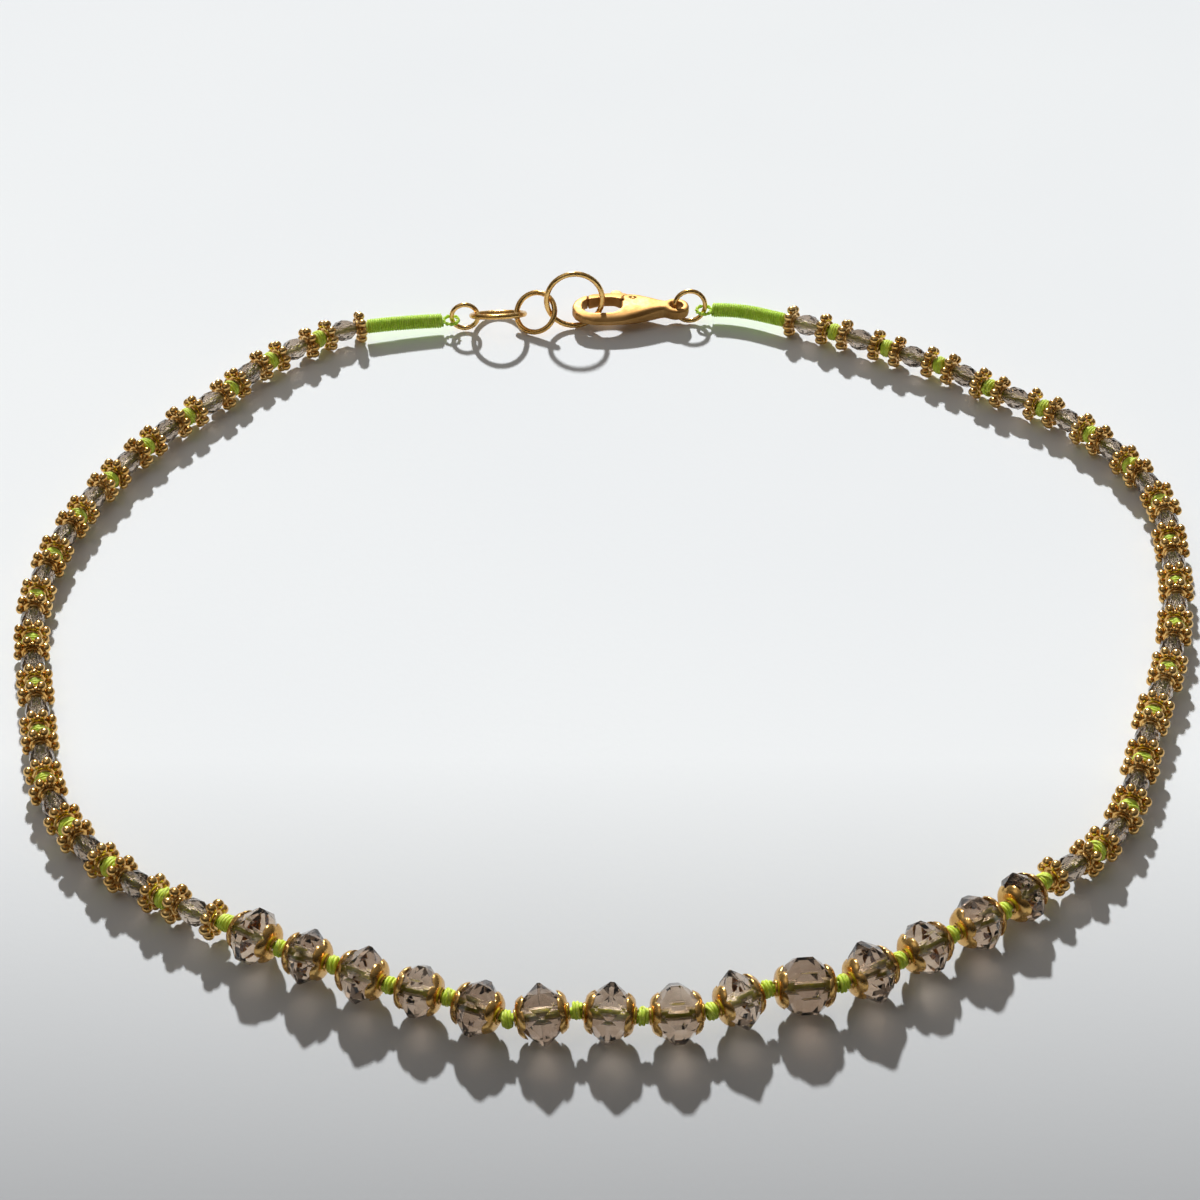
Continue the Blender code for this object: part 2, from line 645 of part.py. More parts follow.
class Layout:
    """Distances along the route of all that is strung on it, from the middle of the front."""

    def __init__(self):
        self.stones = [Stone3D(row) for row in STONES]
        self.fastening = Fastening()
        count = len(self.stones)
        middle = count // 2
        marks = [0.0]
        for i, stone in enumerate(self.stones):
            before = END_KNOT_LENGTH if i == 0 else KNOT_LENGTH
            after = END_KNOT_LENGTH if i == count - 1 else KNOT_LENGTH
            marks.append(marks[-1] + (before + after) / 2 + 2 * KNOT_GAP + 2 * stone.reach)
        self.knots = [mark - marks[middle] for mark in marks]
        self.string_length = string_sections()[-1][0]
        outer = END_KNOT_LENGTH / 2 + SEAT_GAP
        self.right_string = self.knots[-1] + outer
        self.left_string = self.knots[0] - outer
        self.right_wrap = self.right_string + self.string_length + SEAT_GAP
        self.left_wrap = self.left_string - self.string_length - SEAT_GAP
        loop_reach = WRAP_LENGTH + LOOP_DIAMETER / 2
        self.right_loop = self.right_wrap + loop_reach
        self.left_loop = self.left_wrap - loop_reach
        self.length = self.right_loop + self.fastening.length - self.left_loop
        self.route = Route(LOOP_ROUTE, self.length)
        self.heights = self.height_rows()

    def height_rows(self):
        """(distance, height) rows of the strung line beyond the stones."""
        daisy = DAISY_DIAMETER / 2
        unit = 2 * DAISY_THICKNESS + SMALL_BEAD_LENGTH + STRING_KNOT_LENGTH
        wrap = WRAP_DIAMETER / 2
        rows = []
        for side, string, wrap_at, loop in (
            (1, self.right_string, self.right_wrap, self.right_loop),
            (-1, self.left_string, self.left_wrap, self.left_loop),
        ):
            rows += [
                (string, daisy + STRING_LIFT),
                (string + side * 1.5 * unit, daisy),
                (wrap_at - side * unit, daisy),
                (wrap_at, daisy * 0.75 + wrap * 0.25),
                (wrap_at + side * 0.35 * WRAP_LENGTH, wrap + SEAT_GAP),
                (loop, LOOP_HEIGHT),
            ]
        rows.sort()
        return rows

    def height(self, distance):
        return float(np.interp(distance, *zip(*self.heights)))

    def place(self, distance):
        """A frame on the strung line, its X along the line."""
        step = 0.3 * MM
        ends = []
        for at in (distance - step, distance + step):
            flat = self.route.at(at)
            ends.append(Vector((flat.x, flat.y, self.height(at))))
        flat = self.route.at(distance)
        origin = Vector((flat.x, flat.y, self.height(distance)))
        return frame_along(origin, ends[1] - ends[0])

    def knot_point(self, index):
        """Centre of a knot between the stones, moved by its row."""
        distance = self.knots[index]
        flat = self.route.at(distance)
        heading = self.route.heading(distance)
        sideways = Vector((-heading.y, heading.x))
        beside = self.stones[max(0, index - 1) : index + 1]
        height = STONE_LIFT + sum(stone.rest_height() for stone in beside) / len(beside)
        if 0 < index < len(self.stones):
            row = self.stones[index - 1].row
            flat = flat + sideways * row.side * KNOT_DIAMETER
            height += row.rise * KNOT_DIAMETER
        else:
            height = (height + DAISY_DIAMETER / 2 + STRING_LIFT) / 2
        return Vector((flat.x, flat.y, height))


def knot_length(index, count):
    return END_KNOT_LENGTH if index in (0, count) else KNOT_LENGTH


def add_stones(layout, quartz, gold):
    """Each stone on the straight line between its two knots, with a cap at either end."""
    count = len(layout.stones)
    table = max(stone.table for stone in layout.stones)
    cap_mesh = mesh_of("bead_cap", cap_shape(table))
    for i, stone in enumerate(layout.stones):
        start, end = layout.knot_point(i), layout.knot_point(i + 1)
        along = (end - start).normalized()
        spare = (end - start).length - 2 * stone.reach
        share = knot_length(i, count) / (knot_length(i, count) + knot_length(i + 1, count))
        place = frame_along(start + along * (spare * share + stone.reach), along)
        name = f"stone_{i + 1:02d}"
        add_object(name, mesh_of(name, stone.shape()), quartz, place)
        seat = stone.half + stone.cap_seat
        for side, turn in (("left", 0.0), ("right", math.pi)):
            shift = Matrix.Translation((-seat, 0, 0))
            spin = Matrix.Rotation(math.radians(stone.row.turn * 2), 4, "X")
            cap_place = place @ Matrix.Rotation(turn, 4, "Z") @ shift @ spin
            add_object(f"cap_{i + 1:02d}_{side}", cap_mesh, gold, cap_place)


def add_front_silk(layout, silk):
    """Knots on one thread that runs through all the stones."""
    last = len(layout.stones)
    points = [layout.knot_point(i) for i in range(last + 1)]
    thread = [THREAD_DIAMETER / 2] * STRING_SIDES
    knot = [KNOT_DIAMETER / 2 * KNOT_FACE_SHARE ** 0.5] * STRING_SIDES
    rings = []
    for i, point in enumerate(points):
        before = points[i - 1] if i else layout.place(layout.left_string).translation
        after = points[i + 1] if i < last else layout.place(layout.right_string).translation
        along = (after - before).normalized()
        half = knot_length(i, last) / 2
        start = frame_along(point - along * half, along)
        end = frame_along(point + along * half, along)
        if i:
            rings.append(ring_points(start, thread))
        rings.append(ring_points(start, knot))
        rings.append(ring_points(end, knot))
        if i < last:
            rings.append(ring_points(end, thread))
    add_object("silk_front", mesh_of("silk_front", skin(rings)), silk)


def add_string(layout, name, start, side, material):
    """One side's daisies, small beads and knots as one body on the strung line."""
    rings = []
    for distance, radii in string_sections():
        rings.append(ring_points(layout.place(start + side * distance), radii))
    add_object(name, mesh_of(name, skin(rings)), material)


def add_wrap(layout, name, start, side, silk):
    """A wrapped silk end whose loop holds the first ring."""
    rings = []
    for distance, radius in wrap_sections():
        place = layout.place(start + side * distance)
        rings.append(ring_points(place, [radius] * STRING_SIDES))
    wrap = add_object(name, mesh_of(name, skin(rings)), silk)
    loop = loop_ring()
    shape = ring_shape(loop)
    centre = start + side * (WRAP_LENGTH + LOOP_DIAMETER / 2)
    flat = layout.route.at(centre)
    bmesh.ops.translate(shape, verts=shape.verts, vec=(flat.x, flat.y, LOOP_HEIGHT))
    cut(wrap, shape, f"{name}_loop", "UNION")


def add_fastening(layout, gold):
    """Rings and clasp on the straight line between the two silk loops, claw to the left."""
    right = layout.route.at(layout.right_loop)
    left = layout.route.at(layout.left_loop)
    line = (right - left).normalized()
    base = frame_along(Vector((left.x, left.y, 0)), Vector((line.x, line.y, 0)))
    for ring in (RING_1, RING_2, RING_3, RING_4, RING_5):
        at = layout.fastening.places[ring.name]
        height = layout.fastening.heights[ring.name]
        turn = Matrix.Rotation(math.radians(ring.turn), 4, "Z")
        lean = Matrix.Rotation(math.radians(ring.lean), 4, "X")
        place = base @ Matrix.Translation((at, 0, height)) @ turn @ lean
        add_object(ring.name, mesh_of(ring.name, ring_shape(ring)), gold, place)
    shift = Vector((layout.fastening.clasp, CLASP_SWAY, layout.fastening.clasp_height))
    sway = math.asin(CLASP_SWAY / (CLASP_LENGTH - CLASP_EYE_RADIUS))
    add_clasp(base @ Matrix.Translation(shift) @ Matrix.Rotation(-sway, 4, "Z"), gold)


def centre_on_floor(root):
    """Moves the root so that the middle of the necklace's box is above the origin, on z = 0."""
    bpy.context.view_layer.update()
    graph = bpy.context.evaluated_depsgraph_get()
    corners = []
    for piece in bpy.data.objects:
        if piece.type == "MESH" and not piece.hide_render:
            solid = piece.evaluated_get(graph)
            world = solid.matrix_world
            corners += [world @ vertex.co for vertex in solid.to_mesh().vertices]
            solid.to_mesh_clear()
    corners = np.array(corners)
    low, high = corners.min(axis=0), corners.max(axis=0)
    root.location = (-(low[0] + high[0]) / 2, -(low[1] + high[1]) / 2, -low[2])


def main():
    for piece in list(bpy.data.objects):
        bpy.data.objects.remove(piece, do_unlink=True)
    root = bpy.data.objects.new("necklace", None)
    bpy.context.collection.objects.link(root)
    quartz = make_material("smoky_quartz", (0.30, 0.22, 0.19), 0.0, 0.04, 0.8)
    gold = make_material("gold", (0.83, 0.56, 0.20), 1.0, 0.22)
    silk = make_material("green_silk", (0.42, 0.78, 0.06), 0.0, 0.55)
    layout = Layout()
    add_stones(layout, quartz, gold)
    add_front_silk(layout, silk)
    add_string(layout, "bead_string_right", layout.right_string, 1, gold)
    add_string(layout, "bead_string_left", layout.left_string, -1, gold)
    add_wrap(layout, "silk_wrap_right", layout.right_wrap, 1, silk)
    add_wrap(layout, "silk_wrap_left", layout.left_wrap, -1, silk)
    add_fastening(layout, gold)
    centre_on_floor(root)
    bpy.context.view_layer.update()


main()
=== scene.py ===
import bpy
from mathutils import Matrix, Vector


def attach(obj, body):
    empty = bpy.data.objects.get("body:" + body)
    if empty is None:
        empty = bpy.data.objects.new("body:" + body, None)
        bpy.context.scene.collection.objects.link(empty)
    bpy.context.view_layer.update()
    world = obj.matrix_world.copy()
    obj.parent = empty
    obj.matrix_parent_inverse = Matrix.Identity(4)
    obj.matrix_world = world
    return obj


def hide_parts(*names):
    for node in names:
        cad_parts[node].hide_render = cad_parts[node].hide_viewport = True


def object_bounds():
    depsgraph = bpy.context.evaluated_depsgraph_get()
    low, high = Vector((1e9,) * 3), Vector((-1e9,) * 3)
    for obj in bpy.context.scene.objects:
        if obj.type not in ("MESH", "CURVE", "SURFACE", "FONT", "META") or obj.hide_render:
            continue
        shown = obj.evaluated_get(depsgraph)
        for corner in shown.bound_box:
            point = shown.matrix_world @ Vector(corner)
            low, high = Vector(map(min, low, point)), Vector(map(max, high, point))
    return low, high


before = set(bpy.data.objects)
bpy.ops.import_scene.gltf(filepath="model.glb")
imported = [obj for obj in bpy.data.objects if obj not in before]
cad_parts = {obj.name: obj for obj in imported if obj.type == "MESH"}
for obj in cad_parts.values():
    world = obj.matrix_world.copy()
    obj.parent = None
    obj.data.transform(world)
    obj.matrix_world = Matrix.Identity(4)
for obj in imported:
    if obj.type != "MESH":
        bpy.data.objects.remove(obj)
cad_bounds = [corner.copy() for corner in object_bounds()]

import math
from collections import namedtuple

import bmesh
import bpy
import numpy as np
from mathutils import Matrix, Vector

MM = 0.001

# Clearances
SEAT_GAP = 0.10 * MM
KNOT_GAP = 0.12 * MM

# Faceted stones at the front
STONE_DIAMETER = 6.0 * MM
STONE_LENGTH = 4.2 * MM
STONE_TABLE_DIAMETER = 2.5 * MM
STONE_CROWN_DIAMETER = 4.4 * MM
STONE_FACETS = 8
STONE_LIFT = 0.16 * MM

# Polished edges of the stones. Points nearer than the weld are made one, and facets that lie
# flatter to each other than the flat angle, in degrees, are joined first.
STONE_WELD = 0.002 * MM
STONE_FLAT_ANGLE = 1.0
STONE_EDGE = 0.05 * MM
STONE_EDGE_ANGLE = 8

# A face is the drilled hole's wall if its middle is this near the axis and the cosine between
# its normal and the axis is under the lean.
HOLE_WALL_REACH = 0.62 * MM
HOLE_WALL_LEAN = 0.3

# One row a stone, left to right. size and long are shares of the stone diameter and length,
# girdle is the flat band's share of the stone's length, turn is in degrees about the hole.
# side and rise move the knot on the stone's right, as shares of the knot's diameter.
Stone = namedtuple("Stone", "size long girdle turn side rise")
STONES = (
    Stone(0.98, 0.98, 0.14, 12, -0.25, -0.05),
    Stone(0.92, 0.86, 0.08, 35, 0.05, 0.00),
    Stone(0.96, 0.93, 0.10, 4, -0.05, 0.00),
    Stone(0.89, 0.88, 0.20, 21, 0.15, 0.05),
    Stone(0.93, 0.93, 0.16, 30, -0.50, -0.15),
    Stone(1.00, 1.02, 0.06, 0, 0.25, 0.05),
    Stone(1.01, 0.98, 0.10, 8, -0.05, -0.05),
    Stone(1.00, 1.02, 0.22, 25, -0.15, 0.00),
    Stone(1.01, 0.90, 0.05, 3, 0.50, 0.15),
    Stone(0.98, 1.19, 0.30, 17, -0.40, -0.05),
    Stone(1.03, 1.00, 0.12, 38, -0.25, -0.05),
    Stone(0.92, 1.00, 0.12, 14, 0.00, 0.05),
    Stone(0.94, 1.00, 0.18, 28, -0.20, 0.00),
    Stone(0.90, 0.81, 0.06, 6, 0.00, 0.00),
)

# Petalled caps on both ends of each stone, turned by a multiple of the stone's own turn
CAP_RIM_DIAMETER = 4.4 * MM
CAP_DEPTH = 0.75 * MM
CAP_WALL = 0.26 * MM
CAP_HOLE_DIAMETER = 1.0 * MM
CAP_PETALS = 5
CAP_TURN_FACTOR = 2

# Silk knots between the stones, each turned by the spin, in radians, from the one before
KNOT_LENGTH = 1.15 * MM
KNOT_DIAMETER = 1.7 * MM
END_KNOT_LENGTH = 1.6 * MM
KNOT_SPIN = 1.9

# Bead strings up the sides, each piece turned by the spin, in radians, from the one before
STRING_GROUPS = 17
DAISY_DIAMETER = 4.2 * MM
DAISY_THICKNESS = 1.4 * MM
SMALL_BEAD_DIAMETER = 2.6 * MM
SMALL_BEAD_LENGTH = 3.1 * MM
SMALL_BEAD_FACE_DIAMETER = 1.5 * MM
SMALL_BEAD_SHOULDER = 0.9 * MM
SMALL_BEAD_HOLE_DIAMETER = 0.8 * MM
SMALL_BEAD_SIDES = 8
STRING_KNOT_LENGTH = 1.5 * MM
STRING_KNOT_DIAMETER = 1.9 * MM
STRING_LIFT = 0.4 * MM
STRING_SPIN = 0.37

# Wrapped silk ends with a loop for the first ring
WRAP_LENGTH = 10.0 * MM
WRAP_DIAMETER = 1.9 * MM
WRAP_FACE_DIAMETER = 1.3 * MM
LOOP_DIAMETER = 1.9 * MM
LOOP_HEIGHT = 1.5 * MM

# How the strung line sinks to the floor: within this many groups of a string's front end, and
# at this share of a silk end, whose start lies this share of the way up to a daisy's middle
SINK_GROUPS = 1.5
WRAP_SETTLE = 0.35
WRAP_START = 0.75

# Rings of the fastening, left to right: lean and turn are in degrees, at is the place along the
# line between the two silk loops, from the left one, and height is the middle's above the floor.
Ring = namedtuple("Ring", "name diameter wire lean turn at height")
RINGS = (
    Ring("ring_1", 3.4 * MM, 0.6 * MM, 85, 0, 1.81 * MM, 1.9935 * MM),
    Ring("ring_2", 6.8 * MM, 0.7 * MM, 150, 0, 6.13 * MM, 2.05 * MM),
    Ring("ring_3", 5.2 * MM, 0.7 * MM, 45, -30, 10.97 * MM, 2.1885 * MM),
    Ring("ring_4", 7.2 * MM, 0.7 * MM, 80, 0, 16.01 * MM, 3.8953 * MM),
    Ring("ring_5", 4.0 * MM, 0.6 * MM, 75, 0, 30.9795 * MM, 2.2319 * MM),
)
FASTENING_LENGTH = 32.8295 * MM

# Where the part's own frame lies in the row frame.
ROOT_SHIFT = Vector((0.1564, -0.3565, 0.1712)) * MM

# The loop's plan, counter-clockwise from the middle of the front. These points set its form
# alone: it is drawn to the length of all that is strung on it.
LOOP_ROUTE = (
    (2.5, -59.2), (8.7, -58.5), (14.7, -57.0), (21.0, -54.8), (26.8, -52.1), (32.3, -49.2),
    (37.7, -45.8), (42.6, -41.8), (48.0, -37.8), (52.2, -32.2), (55.0, -25.0), (57.4, -17.6),
    (60.2, -10.6), (62.2, -3.4), (63.6, 3.8), (64.3, 11.6), (64.4, 18.6), (62.3, 25.0),
    (58.6, 31.2), (53.8, 36.6), (48.0, 40.6), (42.4, 45.4), (36.0, 49.2), (29.4, 53.0),
    (22.6, 56.4), (14.6, 59.2), (2.3, 58.4), (-10.0, 57.6), (-22.4, 56.8), (-33.0, 54.6),
    (-38.6, 51.0), (-44.4, 45.8), (-48.4, 39.8), (-53.4, 33.8), (-57.4, 27.6), (-60.8, 20.6),
    (-63.2, 13.6), (-64.6, 6.4), (-64.8, -0.6), (-63.8, -7.6), (-62.2, -14.4), (-60.6, -21.4),
    (-58.6, -28.6), (-54.8, -35.0), (-49.6, -40.2), (-43.2, -44.6), (-36.9, -48.0),
    (-31.6, -50.7), (-26.3, -53.3), (-20.9, -55.5), (-15.3, -57.3), (-9.7, -58.6), (-3.6, -59.2),
)
ROUTE_STEPS = 24

# How far to each side a heading is read, along the plan and along the strung line
PLAN_LOOK = 0.2 * MM
LINE_LOOK = 0.3 * MM


def frame_along(origin, direction):
    """A matrix whose X runs along direction, with Y level."""
    along = direction.normalized()
    level = Vector((0, 0, 1)).cross(along).normalized()
    up = along.cross(level)
    turn = Matrix((along, level, up)).transposed().to_4x4()
    return Matrix.Translation(origin) @ turn


class Route:
    """A smooth closed curve in plan, drawn to a given length and read by distance along it."""

    def __init__(self, points, length):
        fine = []
        count = len(points)
        for i in range(count):
            a, b, c, d = (np.array(points[(i + k) % count], float) for k in (-1, 0, 1, 2))
            for step in range(ROUTE_STEPS):
                t = step / ROUTE_STEPS
                bend = 2 * a - 5 * b + 4 * c - d
                twist = 3 * b - a - 3 * c + d
                fine.append(0.5 * (2 * b + (c - a) * t + bend * t * t + twist * t ** 3))
        fine.append(fine[0])
        fine = np.array(fine)
        lengths = np.linalg.norm(np.diff(fine, axis=0), axis=1)
        self.length = length
        self.points = fine * length / lengths.sum()
        self.marks = np.concatenate([[0.0], np.cumsum(lengths)]) * length / lengths.sum()

    def at(self, distance):
        distance = distance % self.length
        return Vector([float(np.interp(distance, self.marks, self.points[:, k])) for k in (0, 1)])

    def heading(self, distance):
        return (self.at(distance + PLAN_LOOK) - self.at(distance - PLAN_LOOK)).normalized()


class Stone3D:
    """The sizes that follow from one stone's row."""

    def __init__(self, row):
        self.row = row
        self.radius = STONE_DIAMETER * row.size / 2
        self.half = STONE_LENGTH * row.long / 2
        self.table = STONE_TABLE_DIAMETER * row.size / 2
        self.crown = STONE_CROWN_DIAMETER * row.size / 2
        self.girdle = self.half * row.girdle
        lean = math.cos(math.pi / STONE_FACETS)
        slope = (self.half - self.girdle) / (self.radius - self.table)
        self.crown_half = self.girdle + slope * (self.radius - self.crown * lean)
        reach = CAP_RIM_DIAMETER / 2 - SEAT_GAP
        on_kite = slope * (reach - self.table)
        inner = self.table * lean
        on_crown = (self.half - self.crown_half) * (reach - inner) / (self.crown - inner)
        self.cap_seat = max(SEAT_GAP, CAP_DEPTH - min(on_kite, on_crown))
        self.reach = self.half + self.cap_seat + CAP_WALL

    def rest_height(self):
        """Height of the hole's axis when the lowest corner of the girdle touches the floor."""
        step = 360 / STONE_FACETS
        off = (self.row.turn + 90) % step
        off = min(off, step - off)
        return self.radius * math.cos(math.radians(off))


class Layout:
    """Distances along the route of all that is strung on it, from the middle of the front."""

    def __init__(self):
        self.stones = [Stone3D(row) for row in STONES]
        count = len(self.stones)
        middle = count // 2
        marks = [0.0]
        for i, stone in enumerate(self.stones):
            knots = knot_length(i, count) + knot_length(i + 1, count)
            marks.append(marks[-1] + knots / 2 + 2 * KNOT_GAP + 2 * stone.reach)
        self.knots = [mark - marks[middle] for mark in marks]
        beads = 2 * DAISY_THICKNESS + SMALL_BEAD_LENGTH
        self.string_length = STRING_GROUPS * (beads + STRING_KNOT_LENGTH) - STRING_KNOT_LENGTH
        outer = END_KNOT_LENGTH / 2 + SEAT_GAP
        self.right_string = self.knots[-1] + outer
        self.left_string = self.knots[0] - outer
        self.right_wrap = self.right_string + self.string_length + SEAT_GAP
        self.left_wrap = self.left_string - self.string_length - SEAT_GAP
        loop_reach = WRAP_LENGTH + LOOP_DIAMETER / 2
        self.right_loop = self.right_wrap + loop_reach
        self.left_loop = self.left_wrap - loop_reach
        self.length = self.right_loop + FASTENING_LENGTH - self.left_loop
        self.route = Route(LOOP_ROUTE, self.length)
        self.heights = self.height_rows()

    def height_rows(self):
        """(distance, height) rows of the strung line beyond the stones."""
        daisy = DAISY_DIAMETER / 2
        group = 2 * DAISY_THICKNESS + SMALL_BEAD_LENGTH + STRING_KNOT_LENGTH
        wrap = WRAP_DIAMETER / 2
        rows = []
        for side, string, wrap_at, loop in (
            (1, self.right_string, self.right_wrap, self.right_loop),
            (-1, self.left_string, self.left_wrap, self.left_loop),
        ):
            rows += [
                (string, daisy + STRING_LIFT),
                (string + side * SINK_GROUPS * group, daisy),
                (wrap_at - side * group, daisy),
                (wrap_at, daisy * WRAP_START + wrap * (1 - WRAP_START)),
                (wrap_at + side * WRAP_SETTLE * WRAP_LENGTH, wrap + SEAT_GAP),
                (loop, LOOP_HEIGHT),
            ]
        rows.sort()
        return rows

    def height(self, distance):
        return float(np.interp(distance, *zip(*self.heights)))

    def place(self, distance):
        """A frame on the strung line, its X along the line."""
        ends = []
        for at in (distance - LINE_LOOK, distance + LINE_LOOK):
            flat = self.route.at(at)
            ends.append(Vector((flat.x, flat.y, self.height(at))))
        flat = self.route.at(distance)
        origin = Vector((flat.x, flat.y, self.height(distance)))
        return frame_along(origin, ends[1] - ends[0])

    def knot_point(self, index):
        """Centre of a knot between the stones, moved by its row."""
        distance = self.knots[index]
        flat = self.route.at(distance)
        heading = self.route.heading(distance)
        sideways = Vector((-heading.y, heading.x))
        beside = self.stones[max(0, index - 1) : index + 1]
        height = STONE_LIFT + sum(stone.rest_height() for stone in beside) / len(beside)
        if 0 < index < len(self.stones):
            row = self.stones[index - 1].row
            flat = flat + sideways * row.side * KNOT_DIAMETER
            height += row.rise * KNOT_DIAMETER
        else:
            height = (height + DAISY_DIAMETER / 2 + STRING_LIFT) / 2
        return Vector((flat.x, flat.y, height))


def knot_length(index, count):
    """Length of one of the knots beside count stones."""
    return END_KNOT_LENGTH if index in (0, count) else KNOT_LENGTH


def to_row(place):
    """A place in the part's own frame, as one in the row frame."""
    return Matrix.Translation(ROOT_SHIFT) @ place


# Ways of making meshes. A template is an array of points with a list of faces.
class Batch:
    """Many small templates, each at its own place, joined into one mesh."""

    def __init__(self):
        self.points = []
        self.faces = []
        self.count = 0

    def add(self, template, place=None):
        points, faces = template
        if place is not None:
            turn = np.array(place)
            points = points @ turn[:3, :3].T + turn[:3, 3]
        self.points.append(points)
        start = self.count
        self.faces += [tuple(start + i for i in face) for face in faces]
        self.count += len(points)
        return self

    def template(self):
        return np.concatenate(self.points), self.faces

    def mesh(self, name, smooth=True):
        mesh = bpy.data.meshes.new(name)
        mesh.from_pydata(np.concatenate(self.points).tolist(), [], self.faces)
        mesh.update()
        if smooth:
            mesh.shade_smooth()
        return mesh


def link_piece(name, mesh, material, nodes, body="necklace", place=None):
    """Make a piece from a mesh, which stands for the nodes and rides on the body."""
    mesh.materials.clear()
    mesh.materials.append(material)
    piece = bpy.data.objects.new(name, mesh)
    bpy.context.scene.collection.objects.link(piece)
    if place is not None:
        piece.matrix_world = place
    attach(piece, body)
    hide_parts(*nodes)
    return piece


def unit(rows):
    """Rows of vectors, each made one long."""
    return rows / np.linalg.norm(rows, axis=1)[:, None]


# A direction that no strand starts along
ASKEW = (0.31, 0.17, 0.93)
STRAND_SIDES = 7
WIRE_SIDES = 6


def tube(path, radius, sides, closed=False):
    """A round strand along a path, with its ends closed or joined."""
    path = np.asarray(path, float)
    count = len(path)
    if closed:
        tangents = unit(np.roll(path, -1, axis=0) - np.roll(path, 1, axis=0))
    else:
        tangents = unit(np.gradient(path, axis=0))
    start = np.cross(tangents[0], ASKEW)
    normals = [start / np.linalg.norm(start)]
    for tangent in list(tangents[1:]) + [tangents[0]]:
        normal = normals[-1] - tangent * np.dot(normals[-1], tangent)
        normals.append(normal / np.linalg.norm(normal))
    slip = 0.0
    if closed:
        across = np.cross(tangents[0], normals[0])
        slip = math.atan2(np.dot(normals[-1], across), np.dot(normals[-1], normals[0]))
    points, faces = [], []
    angles = np.arange(sides) * 2 * math.pi / sides
    for i in range(count):
        turn = angles - slip * i / count
        across = np.cross(tangents[i], normals[i])
        ring = np.cos(turn)[:, None] * normals[i] + np.sin(turn)[:, None] * across
        points.append(path[i] + ring * radius)
    last = count if closed else count - 1
    for i in range(last):
        near, far = i * sides, (i + 1) % count * sides
        for k in range(sides):
            n = (k + 1) % sides
            faces.append((near + k, near + n, far + n, far + k))
    if not closed:
        faces.append(tuple(range(sides))[::-1])
        faces.append(tuple(range((count - 1) * sides, count * sides)))
    return np.concatenate(points), faces


def circle(radius, x, count):
    """Points of a circle round the X axis."""
    angles = np.arange(count) * 2 * math.pi / count
    return np.stack([np.full(count, x), radius * np.cos(angles), radius * np.sin(angles)], axis=1)


def ball(radius, centre, detail, stretch):
    """A round grain, stretched along X."""
    shape = bmesh.new()
    bmesh.ops.create_icosphere(shape, subdivisions=detail, radius=radius)
    points = np.array([vertex.co for vertex in shape.verts])
    faces = [tuple(vertex.index for vertex in face.verts) for face in shape.faces]
    shape.free()
    return points * (stretch, 1.0, 1.0) + np.array(centre), faces


def evaluated(mesh, add_modifiers):
    """Points and faces of a mesh after modifiers that add_modifiers gives to its object."""
    piece = bpy.data.objects.new("shaping", mesh)
    bpy.context.scene.collection.objects.link(piece)
    add_modifiers(piece)
    bpy.context.view_layer.update()
    solid = piece.evaluated_get(bpy.context.evaluated_depsgraph_get()).to_mesh()
    points = np.array([vertex.co for vertex in solid.vertices])
    faces = [tuple(face.vertices) for face in solid.polygons]
    bpy.data.objects.remove(piece, do_unlink=True)
    return points, faces


# Bead caps. The drawn rim is a radius. A petal's outline follows a power of the cosine round it,
# and the cut is how far out the petals part, as a share of the way from the flat to the rim.
CAP_COLUMNS = 8 * CAP_PETALS
CAP_FLAT_SHARES = (0.0, 0.5)
CAP_CONE_ROWS = 5
CAP_DRAWN_RIM = 2.02 * MM
CAP_DRAWN_DEPTH = 0.63 * MM
CAP_PETAL_POWER = 0.55
CAP_PETAL_WIDTH = 1.02
CAP_PETAL_CUT = 0.38
CAP_DOME = 0.08 * MM
CAP_RIM_WIRE = 0.06 * MM
CAP_COLLAR_WIRE = 0.15 * MM
CAP_COLLAR_DIAMETER = 1.5 * MM
CAP_COLLAR_STEPS = 20

# The cap's wall thins out towards its rim by this share, and leans outwards more and more.
CAP_THINNING = 0.45
CAP_FLAT_LEAN = 0.35
CAP_LEAN_GAIN = 0.5


def cap_profile(table_radius):
    """Rows of (x, radius) points, inner and outer, for each column round the cap."""
    flat = table_radius + SEAT_GAP
    hole = CAP_HOLE_DIAMETER / 2
    inner, outer = [], []
    for i in range(CAP_COLUMNS):
        angle = 2 * math.pi * i / CAP_COLUMNS
        petal = CAP_PETAL_WIDTH * abs(math.cos(angle * CAP_PETALS / 2)) ** CAP_PETAL_POWER
        petal = min(1.0, petal)
        reach = CAP_PETAL_CUT + (1 - CAP_PETAL_CUT) * petal
        rows_in, rows_out = [], []
        for share in CAP_FLAT_SHARES:
            radius = hole + (flat - hole) * share
            rows_in.append((0.0, radius))
            rows_out.append((-CAP_WALL, radius))
        for row in range(CAP_CONE_ROWS + 1):
            share = row / CAP_CONE_ROWS * reach
            bulge = CAP_DOME * petal ** 2 * math.sin(math.pi * row / CAP_CONE_ROWS)
            x = CAP_DRAWN_DEPTH * share - bulge
            radius = flat + (CAP_DRAWN_RIM - flat) * share + bulge
            wall = CAP_WALL * (1.0 - CAP_THINNING * share)
            lean = CAP_FLAT_LEAN + CAP_LEAN_GAIN * share
            rows_in.append((x, radius))
            rows_out.append((x - wall * (1 - lean), radius + wall * lean))
        inner.append(rows_in)
        outer.append(rows_out)
    return inner, outer


